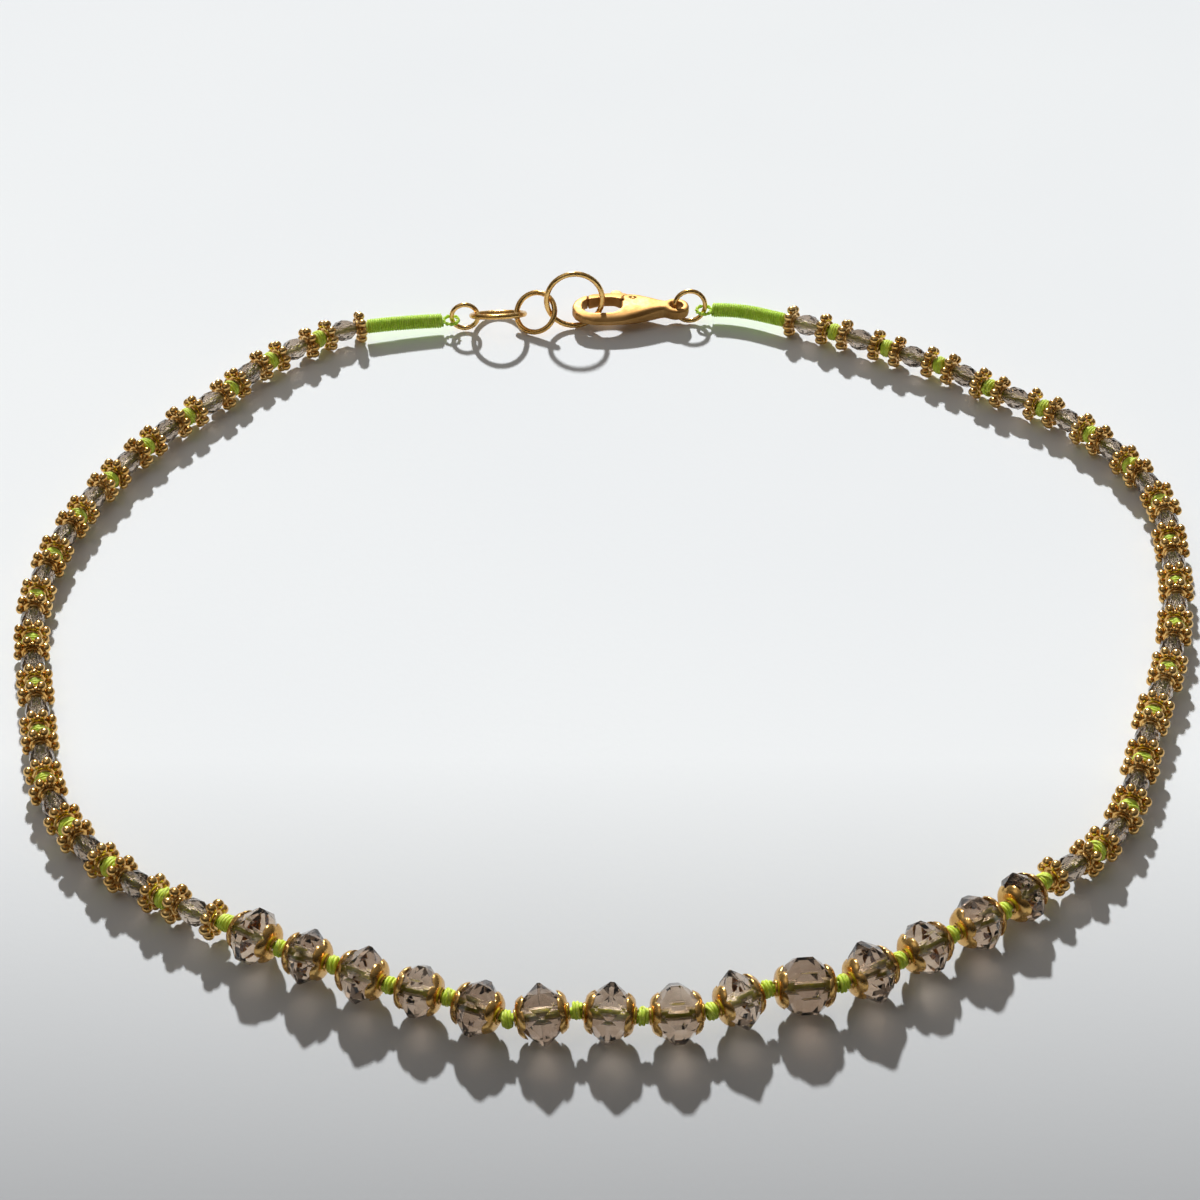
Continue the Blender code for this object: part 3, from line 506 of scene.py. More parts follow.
def cap_template(table_radius):
    """A cup of five domed petals with a rolled rim and a wire collar round its hole."""
    inner, outer = cap_profile(table_radius)
    rows = len(inner[0])
    points, rim = [], []
    for surface in (inner, outer):
        for i, column in enumerate(surface):
            angle = 2 * math.pi * i / CAP_COLUMNS
            for x, radius in column:
                points.append((x, radius * math.cos(angle), radius * math.sin(angle)))

    def index(layer, column, row):
        return layer * CAP_COLUMNS * rows + column % CAP_COLUMNS * rows + row

    faces = []
    last = rows - 1
    for column in range(CAP_COLUMNS):
        following = column + 1
        for row in range(last):
            corners = ((column, row), (column, row + 1), (following, row + 1), (following, row))
            faces.append(tuple(index(0, *corner) for corner in corners))
            faces.append(tuple(index(1, *corner) for corner in corners[::-1]))
        for row, a, b in ((0, column, following), (last, following, column)):
            faces.append((index(0, a, row), index(0, b, row), index(1, b, row), index(1, a, row)))
        ends = np.array([points[index(0, column, last)], points[index(1, column, last)]])
        rim.append(ends.mean(axis=0))
    mesh = bpy.data.meshes.new("cap_shell")
    mesh.from_pydata(points, [], faces)

    def round_off(piece):
        piece.modifiers.new("round", "SUBSURF").levels = 1

    batch = Batch().add(evaluated(mesh, round_off))
    batch.add(tube(rim, CAP_RIM_WIRE, WIRE_SIDES, closed=True))
    collar = circle(CAP_COLLAR_DIAMETER / 2, -CAP_WALL, CAP_COLLAR_STEPS)
    return batch.add(tube(collar, CAP_COLLAR_WIRE, WIRE_SIDES, closed=True)).template()


# Daisy spacers
DAISY_GRAINS = 8
GRAIN_RADIUS = 0.53 * MM
GRAIN_STRETCH = 1.15
GRAIN_DETAIL = 3
HUB_STEPS = 20
HUB_RADIUS = 0.95 * MM
HUB_WIRE = 0.42 * MM
HUB_LIP_RADIUS = 0.72 * MM
HUB_LIP_WIRE = 0.22 * MM
HUB_LIP_PLACE = 0.46 * MM


def daisy_template():
    """Grains round a hub with a lip on each face."""
    batch = Batch()
    reach = DAISY_DIAMETER / 2 - GRAIN_RADIUS
    for k in range(DAISY_GRAINS):
        angle = 2 * math.pi * k / DAISY_GRAINS
        centre = (0.0, reach * math.cos(angle), reach * math.sin(angle))
        batch.add(ball(GRAIN_RADIUS, centre, GRAIN_DETAIL, GRAIN_STRETCH))
    batch.add(tube(circle(HUB_RADIUS, 0.0, HUB_STEPS), HUB_WIRE, WIRE_SIDES, closed=True))
    for sign in (-1, 1):
        lip = circle(HUB_LIP_RADIUS, sign * HUB_LIP_PLACE, HUB_STEPS)
        batch.add(tube(lip, HUB_LIP_WIRE, WIRE_SIDES, closed=True))
    return batch.template()


# Small faceted beads
SMALL_BEAD_FULLNESS = 1.03


def small_bead_template():
    """A faceted bead, from rows of corners of which the odd ones are turned by half a step.

    The faces of its hole come last.
    """
    sides = SMALL_BEAD_SIDES
    half = SMALL_BEAD_LENGTH / 2
    belly = half - SMALL_BEAD_SHOULDER
    face, full = SMALL_BEAD_FACE_DIAMETER / 2, SMALL_BEAD_DIAMETER / 2
    rows = (
        (-half, face, 0), (-belly, full, 1), (0.0, full * SMALL_BEAD_FULLNESS, 0),
        (belly, full, 1), (half, face, 0),
    )
    points, faces = [], []
    for x, radius, odd in rows:
        for k in range(sides):
            angle = 2 * math.pi * (k + odd / 2) / sides
            points.append((x, radius * math.cos(angle), radius * math.sin(angle)))
    for r in range(len(rows) - 1):
        odd = rows[r][2]
        for k in range(sides):
            n = (k + 1) % sides
            a, b = r * sides + k, r * sides + n
            c, d = (r + 1) * sides + k, (r + 1) * sides + n
            if odd:
                faces += [(a, b, d), (a, d, c)]
            else:
                faces += [(a, b, c), (b, d, c)]
    for x in (-half, half):
        points += circle(SMALL_BEAD_HOLE_DIAMETER / 2, x, sides).tolist()
    far = (len(rows) - 1) * sides
    left, right = far + sides, far + 2 * sides
    wall = []
    for k in range(sides):
        n = (k + 1) % sides
        faces += [(left + k, left + n, n, k), (far + k, far + n, right + n, right + k)]
        wall.append((left + k, right + k, right + n, left + n))
    return np.array(points), faces + wall


# Knots. A strand is given by its radius, the pitch of its turns as a share of its diameter, and
# the crossing strand's turn in radians. A barrel value says how much a knot draws in towards its
# ends, and a depth how far below its skin the crossing strand's middle or the core lies, in
# strand radii. A front knot is drawn longer than its solid by the overrun, in knot gaps.
KNOT_STRAND = 0.17 * MM
KNOT_STEPS = 16
KNOT_PITCH = 0.9
KNOT_TILT = 0.09 * MM
KNOT_BARREL = 0.42
KNOT_CROSSING_TURN = 2.6
KNOT_CROSSING_BARREL = 0.6
KNOT_CROSSING_DEPTH = 0.5
KNOT_CORE_DEPTH = 1.3
KNOT_CORE_DETAIL = 2
KNOT_CORE_STRETCH = 0.8
KNOT_FULLNESS = 1.08
KNOT_OVERRUN = 1.6
SIDE_KNOT_FULLNESS = 1.20

# Thread of two plies, and the wound silk ends
FRONT_PLY = 0.23 * MM
SIDE_PLY = 0.14 * MM
PLY_PITCH = 1.3 * MM
PLY_STEPS = 7
PLY_CLOSENESS = 0.9
THREAD_STEPS = 125
WRAP_THREAD = 0.15 * MM
WRAP_STEPS = 14
WRAP_CLOSENESS = 0.98
WRAP_CORE_DEPTH = 1.6
WRAP_CORE_SIDES = 12
LOOP_STEPS = 32


def knot_template(length, diameter):
    """A barrel of slanting turns round a core, with one strand across them."""
    reach = length / 2 - KNOT_STRAND
    turns = round(reach / (KNOT_PITCH * KNOT_STRAND))
    share = np.linspace(-1.0, 1.0, turns * KNOT_STEPS + 1)
    angle = math.pi * turns * share
    radius = (diameter / 2 - KNOT_STRAND) * np.sqrt(1.0 - KNOT_BARREL * share ** 2)
    along = reach * share + KNOT_TILT * np.cos(angle)
    wound = np.stack([along, radius * np.cos(angle), radius * np.sin(angle)], axis=1)
    share = np.linspace(-1.0, 1.0, KNOT_STEPS)
    angle = KNOT_CROSSING_TURN * share / 2
    radius = diameter / 2 - KNOT_STRAND * KNOT_CROSSING_DEPTH
    radius = radius * np.sqrt(1.0 - KNOT_CROSSING_BARREL * share ** 2)
    across = np.stack([reach * share, radius * np.cos(angle), radius * np.sin(angle)], axis=1)
    batch = Batch()
    for path in (wound, across):
        batch.add(tube(path, KNOT_STRAND, STRAND_SIDES))
    core_radius = diameter / 2 - KNOT_STRAND * KNOT_CORE_DEPTH
    stretch = KNOT_CORE_STRETCH * length / diameter
    batch.add(ball(core_radius, (0.0, 0.0, 0.0), KNOT_CORE_DETAIL, stretch))
    return batch.template()


def twisted(path, ply_radius, closed=False):
    """Two plies wound round each other along a path."""
    path = np.asarray(path, float)
    steps = np.linalg.norm(np.diff(path, axis=0), axis=1)
    marks = np.concatenate([[0.0], np.cumsum(steps)])
    total = marks[-1]
    turns = max(1, round(total / PLY_PITCH))
    fine = np.linspace(0.0, total, turns * PLY_STEPS + 1)
    line = np.stack([np.interp(fine, marks, path[:, k]) for k in range(3)], axis=1)
    tangents = unit(np.gradient(line, axis=0))
    side = unit(np.cross(tangents, (0.0, 0.0, 1.0)))
    up = np.cross(side, tangents)
    batch = Batch()
    for phase in (0.0, math.pi):
        angle = fine / total * turns * 2 * math.pi + phase
        offset = np.cos(angle)[:, None] * side + np.sin(angle)[:, None] * up
        ply = line + offset * ply_radius * PLY_CLOSENESS
        if closed:
            ply = ply[:-1]
        batch.add(tube(ply, ply_radius, WIRE_SIDES, closed=closed))
    return batch.template()


def wrap_template(layout, start, side):
    """A silk end, wound from the bead string to its loop, with the loop beyond it."""
    pitch = 2 * WRAP_THREAD * WRAP_CLOSENESS
    turns = int((WRAP_LENGTH - 2 * WRAP_THREAD) / pitch)
    shoulder = (WRAP_DIAMETER - WRAP_FACE_DIAMETER) / 2
    path, core = [], []
    first = layout.height(start)
    for step in range(turns * WRAP_STEPS + 1):
        share = step / (turns * WRAP_STEPS)
        distance = WRAP_THREAD + share * (WRAP_LENGTH - 2 * WRAP_THREAD)
        inset = max(0.0, shoulder - min(distance, WRAP_LENGTH - distance))
        radius = WRAP_DIAMETER / 2 - WRAP_THREAD - inset
        angle = 2 * math.pi * step / WRAP_STEPS
        place = layout.place(start + side * distance)
        place.translation.z = first + (LOOP_HEIGHT - first) * share
        path.append(place @ Vector((0.0, radius * math.cos(angle), radius * math.sin(angle))))
        if step % (2 * WRAP_STEPS) == 0:
            core.append(place.translation)
    batch = Batch().add(tube(path, WRAP_THREAD, WIRE_SIDES))
    core_radius = WRAP_DIAMETER / 2 - WRAP_CORE_DEPTH * WRAP_THREAD
    batch.add(tube(core, core_radius, WRAP_CORE_SIDES))
    centre = layout.route.at(start + side * (WRAP_LENGTH + LOOP_DIAMETER / 2))
    ring = []
    for k in range(LOOP_STEPS + 1):
        angle = 2 * math.pi * k / LOOP_STEPS
        x = centre.x + LOOP_DIAMETER / 2 * math.cos(angle)
        y = centre.y + LOOP_DIAMETER / 2 * math.sin(angle)
        ring.append((x, y, LOOP_HEIGHT))
    batch.add(twisted(ring, SIDE_PLY, closed=True))
    return batch.template()


# Clasp. All its lengths here are in millimetres, as it is remeshed in them: the voxels and the
# smoothing of a casting, then where its middle line lies and how much its faces are crowned.
CLASP_WELD = 0.001
CLASP_VOXEL = 0.085
CLASP_SMOOTHING = 26
CLASP_SMOOTH_SHARE = 0.5
CLASP_REFILL = 0.07
CLASP_CLAW_X = -4.88
CLASP_MIDDLE_Y = 58.59
CLASP_MIDDLE_Z = 1.97
CLASP_HEADING = 0.0022
CLASP_HALF_WIDTH = 3.2
CLASP_CROWN = 0.55


def rounded_copy(node):
    """A cast-looking copy of a CAD part: remeshed finely in millimetres, then smoothed."""
    shape = bmesh.new()
    shape.from_mesh(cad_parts[node].data)
    bmesh.ops.remove_doubles(shape, verts=shape.verts, dist=CLASP_WELD * MM)
    bmesh.ops.scale(shape, verts=shape.verts, vec=(1 / MM, 1 / MM, 1 / MM))
    mesh = bpy.data.meshes.new(f"{node}_blank")
    shape.to_mesh(mesh)
    shape.free()

    def soften(piece):
        remesh = piece.modifiers.new("fine", "REMESH")
        remesh.mode = "VOXEL"
        remesh.voxel_size = CLASP_VOXEL
        smooth = piece.modifiers.new("soft", "SMOOTH")
        smooth.factor = CLASP_SMOOTH_SHARE
        smooth.iterations = CLASP_SMOOTHING
        refill = piece.modifiers.new("refill", "DISPLACE")
        refill.strength = CLASP_REFILL
        refill.mid_level = 0.0

    points, faces = evaluated(mesh, soften)
    across = points[:, 1] - CLASP_MIDDLE_Y - CLASP_HEADING * (points[:, 0] - CLASP_CLAW_X)
    crown = 1.0 - CLASP_CROWN * np.minimum(1.0, (across / CLASP_HALF_WIDTH) ** 2)
    points[:, 2] = CLASP_MIDDLE_Z + (points[:, 2] - CLASP_MIDDLE_Z) * crown
    return Batch().add((points * MM, faces)).mesh(node)


# Materials
class Paint:
    """A material with one Principled shader and short ways to add texture nodes."""

    def __init__(self, name, **settings):
        self.material = bpy.data.materials.new(name)
        self.material.use_nodes = True
        self.tree = self.material.node_tree
        self.shader = self.tree.nodes["Principled BSDF"]
        for socket, value in settings.items():
            self.shader.inputs[socket.replace("_", " ")].default_value = value
        self.place = self.node("ShaderNodeTexCoord").outputs["Object"]

    def node(self, kind, links=None, **values):
        node = self.tree.nodes.new(kind)
        for key, value in values.items():
            if hasattr(node, key):
                setattr(node, key, value)
            else:
                node.inputs[key.replace("_", " ")].default_value = value
        for socket, source in (links or {}).items():
            self.tree.links.new(source, node.inputs[socket])
        return node

    def noise(self, scale, detail, distortion=0.0):
        node = self.node(
            "ShaderNodeTexNoise", {"Vector": self.place},
            Scale=scale, Detail=detail, Distortion=distortion,
        )
        return node.outputs["Fac"]

    def ramp(self, source, stops):
        node = self.node("ShaderNodeValToRGB", {"Fac": source})
        points = node.color_ramp.elements
        while len(points) < len(stops):
            points.new(0.5)
        for point, (position, color) in zip(points, stops):
            point.position = position
            point.color = (*color, 1.0)
        return node.outputs["Color"]

    def span(self, source, across, onto=(0.0, 1.0)):
        """The source's way across one range, laid onto another."""
        node = self.node("ShaderNodeMapRange", {"Value": source})
        node.inputs["From Min"].default_value = across[0]
        node.inputs["From Max"].default_value = across[1]
        node.inputs["To Min"].default_value = onto[0]
        node.inputs["To Max"].default_value = onto[1]
        return node.outputs["Result"]

    def darken(self, color, factor, dark):
        """The painted shade tone where the factor is 0, and the color where it is 1."""
        node = self.node("ShaderNodeMix")
        node.data_type = "RGBA"
        self.tree.links.new(factor, node.inputs[0])
        node.inputs[6].default_value = (*dark, 1.0)
        self.tree.links.new(color, node.inputs[7])
        return node.outputs[2]

    def bump(self, source, distance, strength):
        node = self.node("ShaderNodeBump", {"Height": source}, Distance=distance)
        node.inputs["Strength"].default_value = strength
        self.tree.links.new(node.outputs["Normal"], self.shader.inputs["Normal"])

    def set(self, socket, source):
        self.tree.links.new(source, self.shader.inputs[socket])


# Tones of each metal, its painted shade tone for hollows and creases, and the range of its
# roughness
Metal = namedtuple("Metal", "light deep dark smooth rough")
NECKLACE_GOLD = Metal((0.84, 0.54, 0.19), (0.60, 0.33, 0.085), (0.12, 0.055, 0.014), 0.18, 0.34)
DAISY_GOLD = Metal((0.86, 0.58, 0.23), (0.60, 0.33, 0.08), (0.10, 0.04, 0.010), 0.17, 0.30)
# The clasp's gold is a darker copy of the same gold: painted shade that tones down the key
# light's reflection on its flat top. It is rougher too.
SHADED_CLASP_GOLD = Metal((0.62, 0.36, 0.13), (0.40, 0.21, 0.06), (0.08, 0.035, 0.010), 0.48, 0.60)
# Pointiness range over which the gold's painted shade in hollows fades out
GOLD_PAINTED_SHADE = (0.40, 0.52)

Silk = namedtuple("Silk", "deep middle light")
KNOT_SILK = Silk((0.44, 0.62, 0.03), (0.64, 0.82, 0.065), (0.78, 0.91, 0.20))
WOUND_SILK = Silk((0.37, 0.64, 0.02), (0.54, 0.84, 0.045), (0.70, 0.92, 0.14))
# Painted shade in the silk's creases: its tone, and the pointiness range over which it fades out
SILK_SHADE_TONE = (0.20, 0.31, 0.01)
SILK_PAINTED_SHADE = (0.36, 0.50)
SILK_SHEEN = (0.75, 1.0, 0.30)
SILK_GLOW = (1.0, 1.0, 0.3)
SILK_DEPTH = 0.4 * MM

Quartz = namedtuple("Quartz", "clear smoky smooth rough")
STONE_QUARTZ = Quartz((0.78, 0.64, 0.51), (0.38, 0.265, 0.185), 0.0, 0.035)
DRILLED_QUARTZ = Quartz((0.95, 0.87, 0.62), (0.84, 0.74, 0.47), 0.45, 0.65)
BEAD_QUARTZ = Quartz((0.56, 0.47, 0.39), (0.32, 0.26, 0.21), 0.0, 0.035)


def gold_material(name, metal):
    """Plated metal with painted shade in its hollows and creases, and a fine cast surface."""
    paint = Paint(name, Metallic=1.0)
    patches = paint.noise(scale=420.0, detail=4.0)
    tone = paint.ramp(patches, ((0.3, metal.deep), (0.7, metal.light)))
    # Painted shade: the metal is darkened towards its shade tone where pointiness marks hollows
    # and creases
    painted_shade = paint.span(paint.node("ShaderNodeNewGeometry").outputs["Pointiness"], GOLD_PAINTED_SHADE)
    paint.set("Base Color", paint.darken(tone, painted_shade, metal.dark))
    wear = paint.noise(scale=1900.0, detail=5.0)
    paint.set("Roughness", paint.span(wear, (0.3, 0.7), (metal.smooth, metal.rough)))
    paint.bump(paint.noise(scale=2600.0, detail=3.0), distance=0.02 * MM, strength=0.5)
    return paint.material


def silk_material(name, silk):
    """Bright silk thread with fine fibres along and across it, and painted shade in its creases.
    """
    paint = Paint(name, Sheen_Weight=0.3, Sheen_Roughness=0.4)
    inputs = paint.shader.inputs
    inputs["Sheen Tint"].default_value = (*SILK_SHEEN, 1.0)
    inputs["Subsurface Weight"].default_value = 0.5
    inputs["Subsurface Radius"].default_value = SILK_GLOW
    inputs["Subsurface Scale"].default_value = SILK_DEPTH
    patches = paint.noise(scale=1500.0, detail=5.0, distortion=0.6)
    tone = paint.ramp(patches, ((0.25, silk.deep), (0.5, silk.middle), (0.8, silk.light)))
    # Painted shade: the silk is darkened towards its shade tone where pointiness marks creases
    painted_shade = paint.span(paint.node("ShaderNodeNewGeometry").outputs["Pointiness"], SILK_PAINTED_SHADE)
    paint.set("Base Color", paint.darken(tone, painted_shade, SILK_SHADE_TONE))
    nap = paint.noise(scale=3000.0, detail=2.0)
    paint.set("Roughness", paint.span(nap, (0.3, 0.7), (0.42, 0.62)))
    fibres = paint.node(
        "ShaderNodeTexWave", {"Vector": paint.place},
        Scale=2600.0, Distortion=9.0, Detail=3.0,
    )
    paint.bump(fibres.outputs["Fac"], distance=0.03 * MM, strength=0.5)
    return paint.material


def quartz_material(name, quartz):
    """Smoky quartz, clearer and browner by turns, polished or as rough as a drilled hole."""
    paint = Paint(name, Transmission_Weight=1.0, IOR=1.544)
    patches = paint.noise(scale=130.0, detail=3.0, distortion=1.2)
    paint.set("Base Color", paint.ramp(patches, ((0.41, quartz.smoky), (0.64, quartz.clear))))
    polish = paint.noise(scale=900.0, detail=4.0)
    paint.set("Roughness", paint.span(polish, (0.35, 0.75), (quartz.smooth, quartz.rough)))
    paint.bump(paint.noise(scale=300.0, detail=2.0), distance=0.004 * MM, strength=0.15)
    return paint.material


# The floor, in metres, with a band of shade in front of the stones. Front and back are the ends
# of the way across it along Y, and it is full between two shares of that way. Inside and outside
# are the half widths along X that it is full to and ends at.
FLOOR_HALF = 6.0
FLOOR_TONES = ((0.83, 0.858, 0.884), (0.86, 0.886, 0.904))
FLOOR_SHADE = (0.431, 0.443, 0.457)
FLOOR_SHADE_FRONT = -0.45
FLOOR_SHADE_BACK = -0.022
FLOOR_SHADE_FULL = (0.794, 0.869)
FLOOR_SHADE_INSIDE = 0.06
FLOOR_SHADE_OUTSIDE = 0.35


def floor_material():
    """Smooth pale card with a faint tooth and a soft band of shade."""
    paint = Paint("pale_card", Roughness=0.9, Specular_IOR_Level=0.1)
    patches = paint.noise(scale=9.0, detail=3.0)
    tone = paint.ramp(patches, ((0.3, FLOOR_TONES[0]), (0.7, FLOOR_TONES[1])))
    split = paint.node("ShaderNodeSeparateXYZ", {"Vector": paint.place})
    across = paint.span(split.outputs["Y"], (FLOOR_SHADE_FRONT, FLOOR_SHADE_BACK))
    pale, shaded = (1.0, 1.0, 1.0), (0.0, 0.0, 0.0)
    near, far = FLOOR_SHADE_FULL
    band = paint.ramp(across, ((0.0, pale), (near, shaded), (far, shaded), (1.0, pale)))
    aside = paint.node("ShaderNodeMath", {0: split.outputs["X"]}, operation="ABSOLUTE")
    beside = paint.span(aside.outputs[0], (FLOOR_SHADE_INSIDE, FLOOR_SHADE_OUTSIDE))
    clear = paint.node("ShaderNodeMath", {0: band, 1: beside}, operation="MAXIMUM")
    paint.set("Base Color", paint.darken(tone, clear.outputs[0], FLOOR_SHADE))
    paint.bump(paint.noise(scale=1400.0, detail=4.0), distance=0.03 * MM, strength=0.25)
    return paint.material


# Pieces
def hole_walls(shape, inside, along):
    """Numbers of the faces that line a stone's hole. Inside leads to the stone's own frame."""
    walls = []
    for face in shape.faces:
        centre = inside @ face.calc_center_median()
        beside = abs(face.normal.dot(along)) < HOLE_WALL_LEAN
        if beside and math.hypot(centre.y, centre.z) < HOLE_WALL_REACH:
            walls.append(face.index)
    return walls


def add_stones(layout, quartz, drilled, gold):
    """The cut stones with their drilled holes, and a bead cap on each end."""
    count = len(layout.stones)
    cap = Batch().add(cap_template(max(stone.table for stone in layout.stones)))
    cap_mesh = cap.mesh("bead_cap")
    for i, stone in enumerate(layout.stones):
        start, end = layout.knot_point(i), layout.knot_point(i + 1)
        along = (end - start).normalized()
        spare = (end - start).length - 2 * stone.reach
        share = knot_length(i, count) / (knot_length(i, count) + knot_length(i + 1, count))
        place = frame_along(start + along * (spare * share + stone.reach), along)
        node = f"stone_{i + 1:02d}"
        shape = bmesh.new()
        shape.from_mesh(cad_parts[node].data)
        bmesh.ops.remove_doubles(shape, verts=shape.verts, dist=STONE_WELD)
        bmesh.ops.dissolve_limit(
            shape, angle_limit=math.radians(STONE_FLAT_ANGLE),
            verts=shape.verts, edges=shape.edges,
        )
        walls = hole_walls(shape, to_row(place).inverted(), along)
        mesh = bpy.data.meshes.new(f"cut_{node}")
        shape.to_mesh(mesh)
        shape.free()
        mesh.shade_flat()
        piece = link_piece(f"cut_{node}", mesh, quartz, [node])
        mesh.materials.append(drilled)
        for k in walls:
            mesh.polygons[k].material_index = 1
        edge = piece.modifiers.new("polished edges", "BEVEL")
        edge.width = STONE_EDGE
        edge.segments = 1
        edge.limit_method = "ANGLE"
        edge.angle_limit = math.radians(STONE_EDGE_ANGLE)
        seat = stone.half + stone.cap_seat
        for side, turn in (("left", 0.0), ("right", math.pi)):
            shift = Matrix.Translation((-seat, 0, 0))
            spin = Matrix.Rotation(math.radians(stone.row.turn * CAP_TURN_FACTOR), 4, "X")
            cap_place = to_row(place @ Matrix.Rotation(turn, 4, "Z") @ shift @ spin)
            node = f"cap_{i + 1:02d}_{side}"
            link_piece(f"petal_{node}", cap_mesh, gold, [node], place=cap_place)


def add_front_silk(layout, silk):
    """The thread through the stones, with a knot beside each of them."""
    last = len(layout.stones)
    points = [layout.knot_point(i) for i in range(last + 1)]
    batch = Batch()
    thread = []
    for i, point in enumerate(points):
        before = points[i - 1] if i else layout.place(layout.left_string).translation
        after = points[i + 1] if i < last else layout.place(layout.right_string).translation
        along = (after - before).normalized()
        spin = Matrix.Rotation(KNOT_SPIN * i, 4, "X")
        knot = knot_template(
            knot_length(i, last) + KNOT_OVERRUN * KNOT_GAP, KNOT_DIAMETER * KNOT_FULLNESS
        )
        batch.add(knot, to_row(frame_along(point, along) @ spin))
        thread.append(point + ROOT_SHIFT)
    batch.add(twisted(thread, FRONT_PLY))
    link_piece("knotted_silk", batch.mesh("knotted_silk"), silk, ["silk_front"])


def add_string(layout, side_name, start, side, daisy_gold, glass, drilled, silk):
    """One side's daisies, small faceted beads and knots, and the thread through them."""
    daisies, beads, knots = Batch(), Batch(), Batch()
    daisy = daisy_template()
    bead = small_bead_template()
    knot = knot_template(STRING_KNOT_LENGTH, STRING_KNOT_DIAMETER * SIDE_KNOT_FULLNESS)
    daisy_floor = DAISY_DIAMETER / 2 - ROOT_SHIFT.z
    at = 0.0
    count = 0

    def put(batch, template, length):
        nonlocal at, count
        place = layout.place(start + side * (at + length / 2))
        if batch is daisies:
            place.translation.z = max(place.translation.z, daisy_floor)
        spin = Matrix.Rotation(STRING_SPIN * count, 4, "X")
        batch.add(template, to_row(place @ spin))
        at += length
        count += 1

    for group in range(STRING_GROUPS):
        put(daisies, daisy, DAISY_THICKNESS)
        put(beads, bead, SMALL_BEAD_LENGTH)
        put(daisies, daisy, DAISY_THICKNESS)
        if group < STRING_GROUPS - 1:
            put(knots, knot, STRING_KNOT_LENGTH)
    thread = []
    for step in range(THREAD_STEPS + 1):
        point = layout.place(start + side * at * step / THREAD_STEPS).translation
        thread.append(point + ROOT_SHIFT)
    knots.add(twisted(thread, SIDE_PLY))
    node = f"bead_string_{side_name}"
    for name, batch, material, slot, smooth in (
        ("daisies", daisies, daisy_gold, "gold_daisies", True),
        ("small_beads", beads, glass, "smoky_quartz", False),
        ("side_knots", knots, silk, "green_silk", True),
    ):
        name = f"{name}_{side_name}"
        mesh = batch.mesh(name, smooth)
        link_piece(name, mesh, material, [node])
        if batch is beads:
            mesh.materials.append(drilled)
            for face in mesh.polygons:
                if face.index % len(bead[1]) >= len(bead[1]) - SMALL_BEAD_SIDES:
                    face.material_index = 1


def add_silk_ends(layout, silk):
    """The wound ends of the silk, each with its loop."""
    for side_name, start, side in (
        ("right", layout.right_wrap, 1), ("left", layout.left_wrap, -1),
    ):
        name = f"wound_silk_{side_name}"
        template = wrap_template(layout, start, side)
        mesh = Batch().add(template, Matrix.Translation(ROOT_SHIFT)).mesh(name)
        link_piece(name, mesh, silk, [f"silk_wrap_{side_name}"])


# Steps round a ring and sides round its wire
RING_STEPS = 72
RING_SIDES = 12


def add_rings(layout, gold):
    """The linked rings of round wire between the two silk loops."""
    right = layout.route.at(layout.right_loop)
    left = layout.route.at(layout.left_loop)
    line = (right - left).normalized()
    base = frame_along(Vector((left.x, left.y, 0)), Vector((line.x, line.y, 0)))
    for ring in RINGS:
        turn = Matrix.Rotation(math.radians(ring.turn), 4, "Z")
        lean = Matrix.Rotation(math.radians(ring.lean), 4, "X")
        stand = Matrix.Rotation(math.pi / 2, 4, "Y")
        place = base @ Matrix.Translation((ring.at, 0, ring.height)) @ turn @ lean @ stand
        middle = circle(ring.diameter / 2, 0.0, RING_STEPS)
        wire = tube(middle, ring.wire / 2, RING_SIDES, closed=True)
        name = f"round_{ring.name}"
        mesh = Batch().add(wire, to_row(place)).mesh(name)
        link_piece(name, mesh, gold, [ring.name])


def add_clasp(gold):
    """The clasp's body, pin and lever. The lever rides on its own body."""
    for node, body in (
        ("clasp_body", "necklace"), ("clasp_pin", "necklace"), ("clasp_lever", "clasp_lever"),
    ):
        link_piece(f"cast_{node}", rounded_copy(node), gold, [node], body)


# Camera, floor and lights, in metres and degrees
CAMERA_PLACE = Vector((-1.36, -210.7, 186.7)) * MM
CAMERA_PITCH = 41.08
CAMERA_LENS = 75.0
CAMERA_NEAR = 0.01
KEY_DISTANCE = 3.0
KEY_ELEVATION = 36.0
KEY_AZIMUTH = 6.0
KEY_TARGET = (0.0, 0.02, 0.0)
KEY_ENERGY = 4.25
KEY_COLOR = (0.985, 0.99, 0.99)
KEY_SPREAD = 2.7
TOP_PLACE = (-0.25, -0.1, 0.5)
TOP_TARGET = (0.0, 0.0, 0.0)
TOP_ENERGY = 0.2
TOP_COLOR = (1.0, 0.95, 0.90)
TOP_SIZE = 0.3

# The sky that lights the scene is brightest towards one direction. The camera itself sees a
# plain pale wall behind the floor.
SKY_DIRECTION = (-0.05, 0.45, 0.80)
SKY_BRIGHT_AT = 0.85
SKY_DIM = (0.10, 0.09, 0.08)
SKY_BRIGHT = (0.86, 0.81, 0.76)
SKY_STRENGTH = 0.30
WALL_COLOR = (0.80, 0.82, 0.83)


def add_camera():
    camera = bpy.data.objects.new("camera", bpy.data.cameras.new("camera"))
    bpy.context.scene.collection.objects.link(camera)
    bpy.context.scene.camera = camera
    camera.data.lens = CAMERA_LENS
    camera.data.clip_start = CAMERA_NEAR
    camera.location = CAMERA_PLACE
    camera.rotation_euler = (math.radians(90 - CAMERA_PITCH), 0.0, 0.0)


def add_floor():
    half = FLOOR_HALF
    mesh = bpy.data.meshes.new("floor")
    corners = [(-half, -half, 0), (half, -half, 0), (half, half, 0), (-half, half, 0)]
    mesh.from_pydata(corners, [], [(0, 1, 2, 3)])
    mesh.materials.append(floor_material())
    floor = bpy.data.objects.new("floor", mesh)
    bpy.context.scene.collection.objects.link(floor)


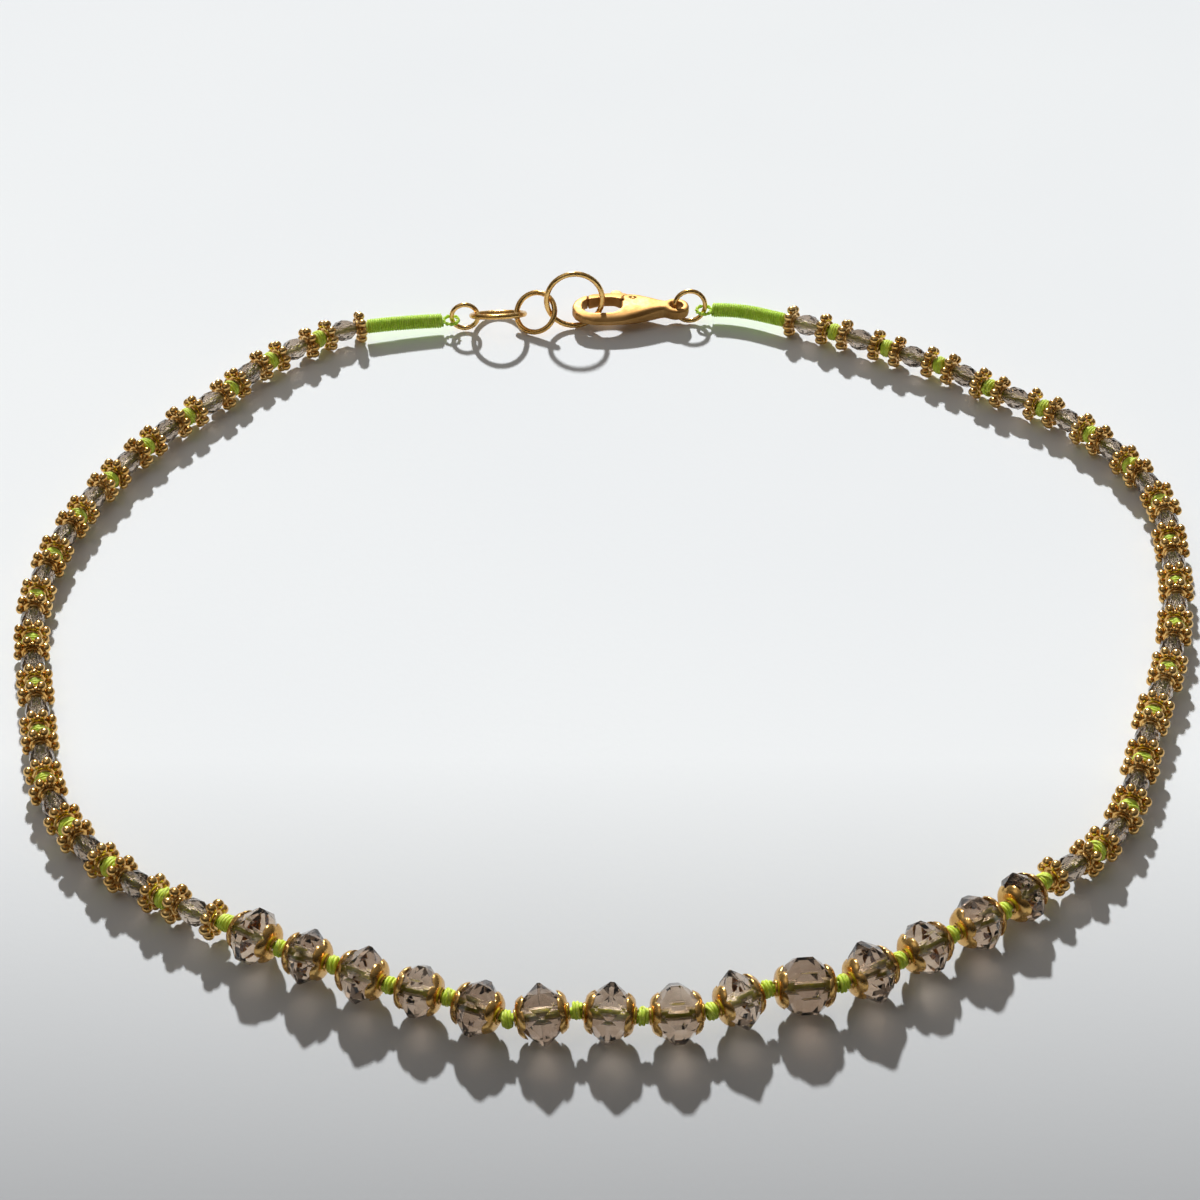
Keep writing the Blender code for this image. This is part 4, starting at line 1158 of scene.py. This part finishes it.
def add_light(name, kind, place, target, energy, color, **values):
    light = bpy.data.lights.new(name, kind)
    light.energy = energy
    light.color = color
    for key, value in values.items():
        setattr(light, key, value)
    thing = bpy.data.objects.new(name, light)
    bpy.context.scene.collection.objects.link(thing)
    thing.location = place
    away = Vector(target) - Vector(place)
    thing.rotation_euler = away.to_track_quat("-Z", "Y").to_euler()


def add_lights():
    elevation, azimuth = math.radians(KEY_ELEVATION), math.radians(KEY_AZIMUTH)
    key = KEY_DISTANCE * Vector((
        -math.sin(azimuth) * math.cos(elevation),
        math.cos(azimuth) * math.cos(elevation),
        math.sin(elevation),
    ))
    add_light(
        "key", "SUN", key, KEY_TARGET, KEY_ENERGY, KEY_COLOR, angle=math.radians(KEY_SPREAD),
    )
    add_light("top", "AREA", TOP_PLACE, TOP_TARGET, TOP_ENERGY, TOP_COLOR, size=TOP_SIZE)


def add_world():
    world = bpy.data.worlds.new("studio")
    bpy.context.scene.world = world
    world.use_nodes = True
    nodes, links = world.node_tree.nodes, world.node_tree.links
    sky = nodes["Background"]
    place = nodes.new("ShaderNodeTexCoord")
    toward = nodes.new("ShaderNodeVectorMath")
    toward.operation = "DOT_PRODUCT"
    toward.inputs[1].default_value = SKY_DIRECTION
    ramp = nodes.new("ShaderNodeValToRGB")
    links.new(place.outputs["Generated"], toward.inputs[0])
    links.new(toward.outputs["Value"], ramp.inputs["Fac"])
    dim, bright = ramp.color_ramp.elements
    dim.position, dim.color = 0.0, (*SKY_DIM, 1.0)
    bright.position, bright.color = SKY_BRIGHT_AT, (*SKY_BRIGHT, 1.0)
    links.new(ramp.outputs["Color"], sky.inputs["Color"])
    sky.inputs["Strength"].default_value = SKY_STRENGTH
    wall = nodes.new("ShaderNodeBackground")
    wall.inputs["Color"].default_value = (*WALL_COLOR, 1.0)
    seen = nodes.new("ShaderNodeMixShader")
    links.new(nodes.new("ShaderNodeLightPath").outputs["Is Camera Ray"], seen.inputs["Fac"])
    links.new(sky.outputs["Background"], seen.inputs[1])
    links.new(wall.outputs["Background"], seen.inputs[2])
    links.new(seen.outputs["Shader"], nodes["World Output"].inputs["Surface"])


def main():
    layout = Layout()
    gold = gold_material("gold", NECKLACE_GOLD)
    daisy_gold = gold_material("gold_daisies", DAISY_GOLD)
    knot_silk = silk_material("knot_silk", KNOT_SILK)
    wound_silk = silk_material("wound_silk", WOUND_SILK)
    quartz = quartz_material("smoky_quartz", STONE_QUARTZ)
    drilled = quartz_material("drilled_quartz", DRILLED_QUARTZ)
    glass = quartz_material("smoky_glass", BEAD_QUARTZ)
    add_stones(layout, quartz, drilled, gold)
    add_front_silk(layout, knot_silk)
    for side_name, start, side in (
        ("right", layout.right_string, 1), ("left", layout.left_string, -1),
    ):
        add_string(layout, side_name, start, side, daisy_gold, glass, drilled, knot_silk)
    add_silk_ends(layout, wound_silk)
    add_rings(layout, gold)
    add_clasp(gold_material("clasp_gold", SHADED_CLASP_GOLD))
    bpy.context.scene.view_settings.view_transform = "Standard"
    add_camera()
    add_floor()
    add_lights()
    add_world()


main()
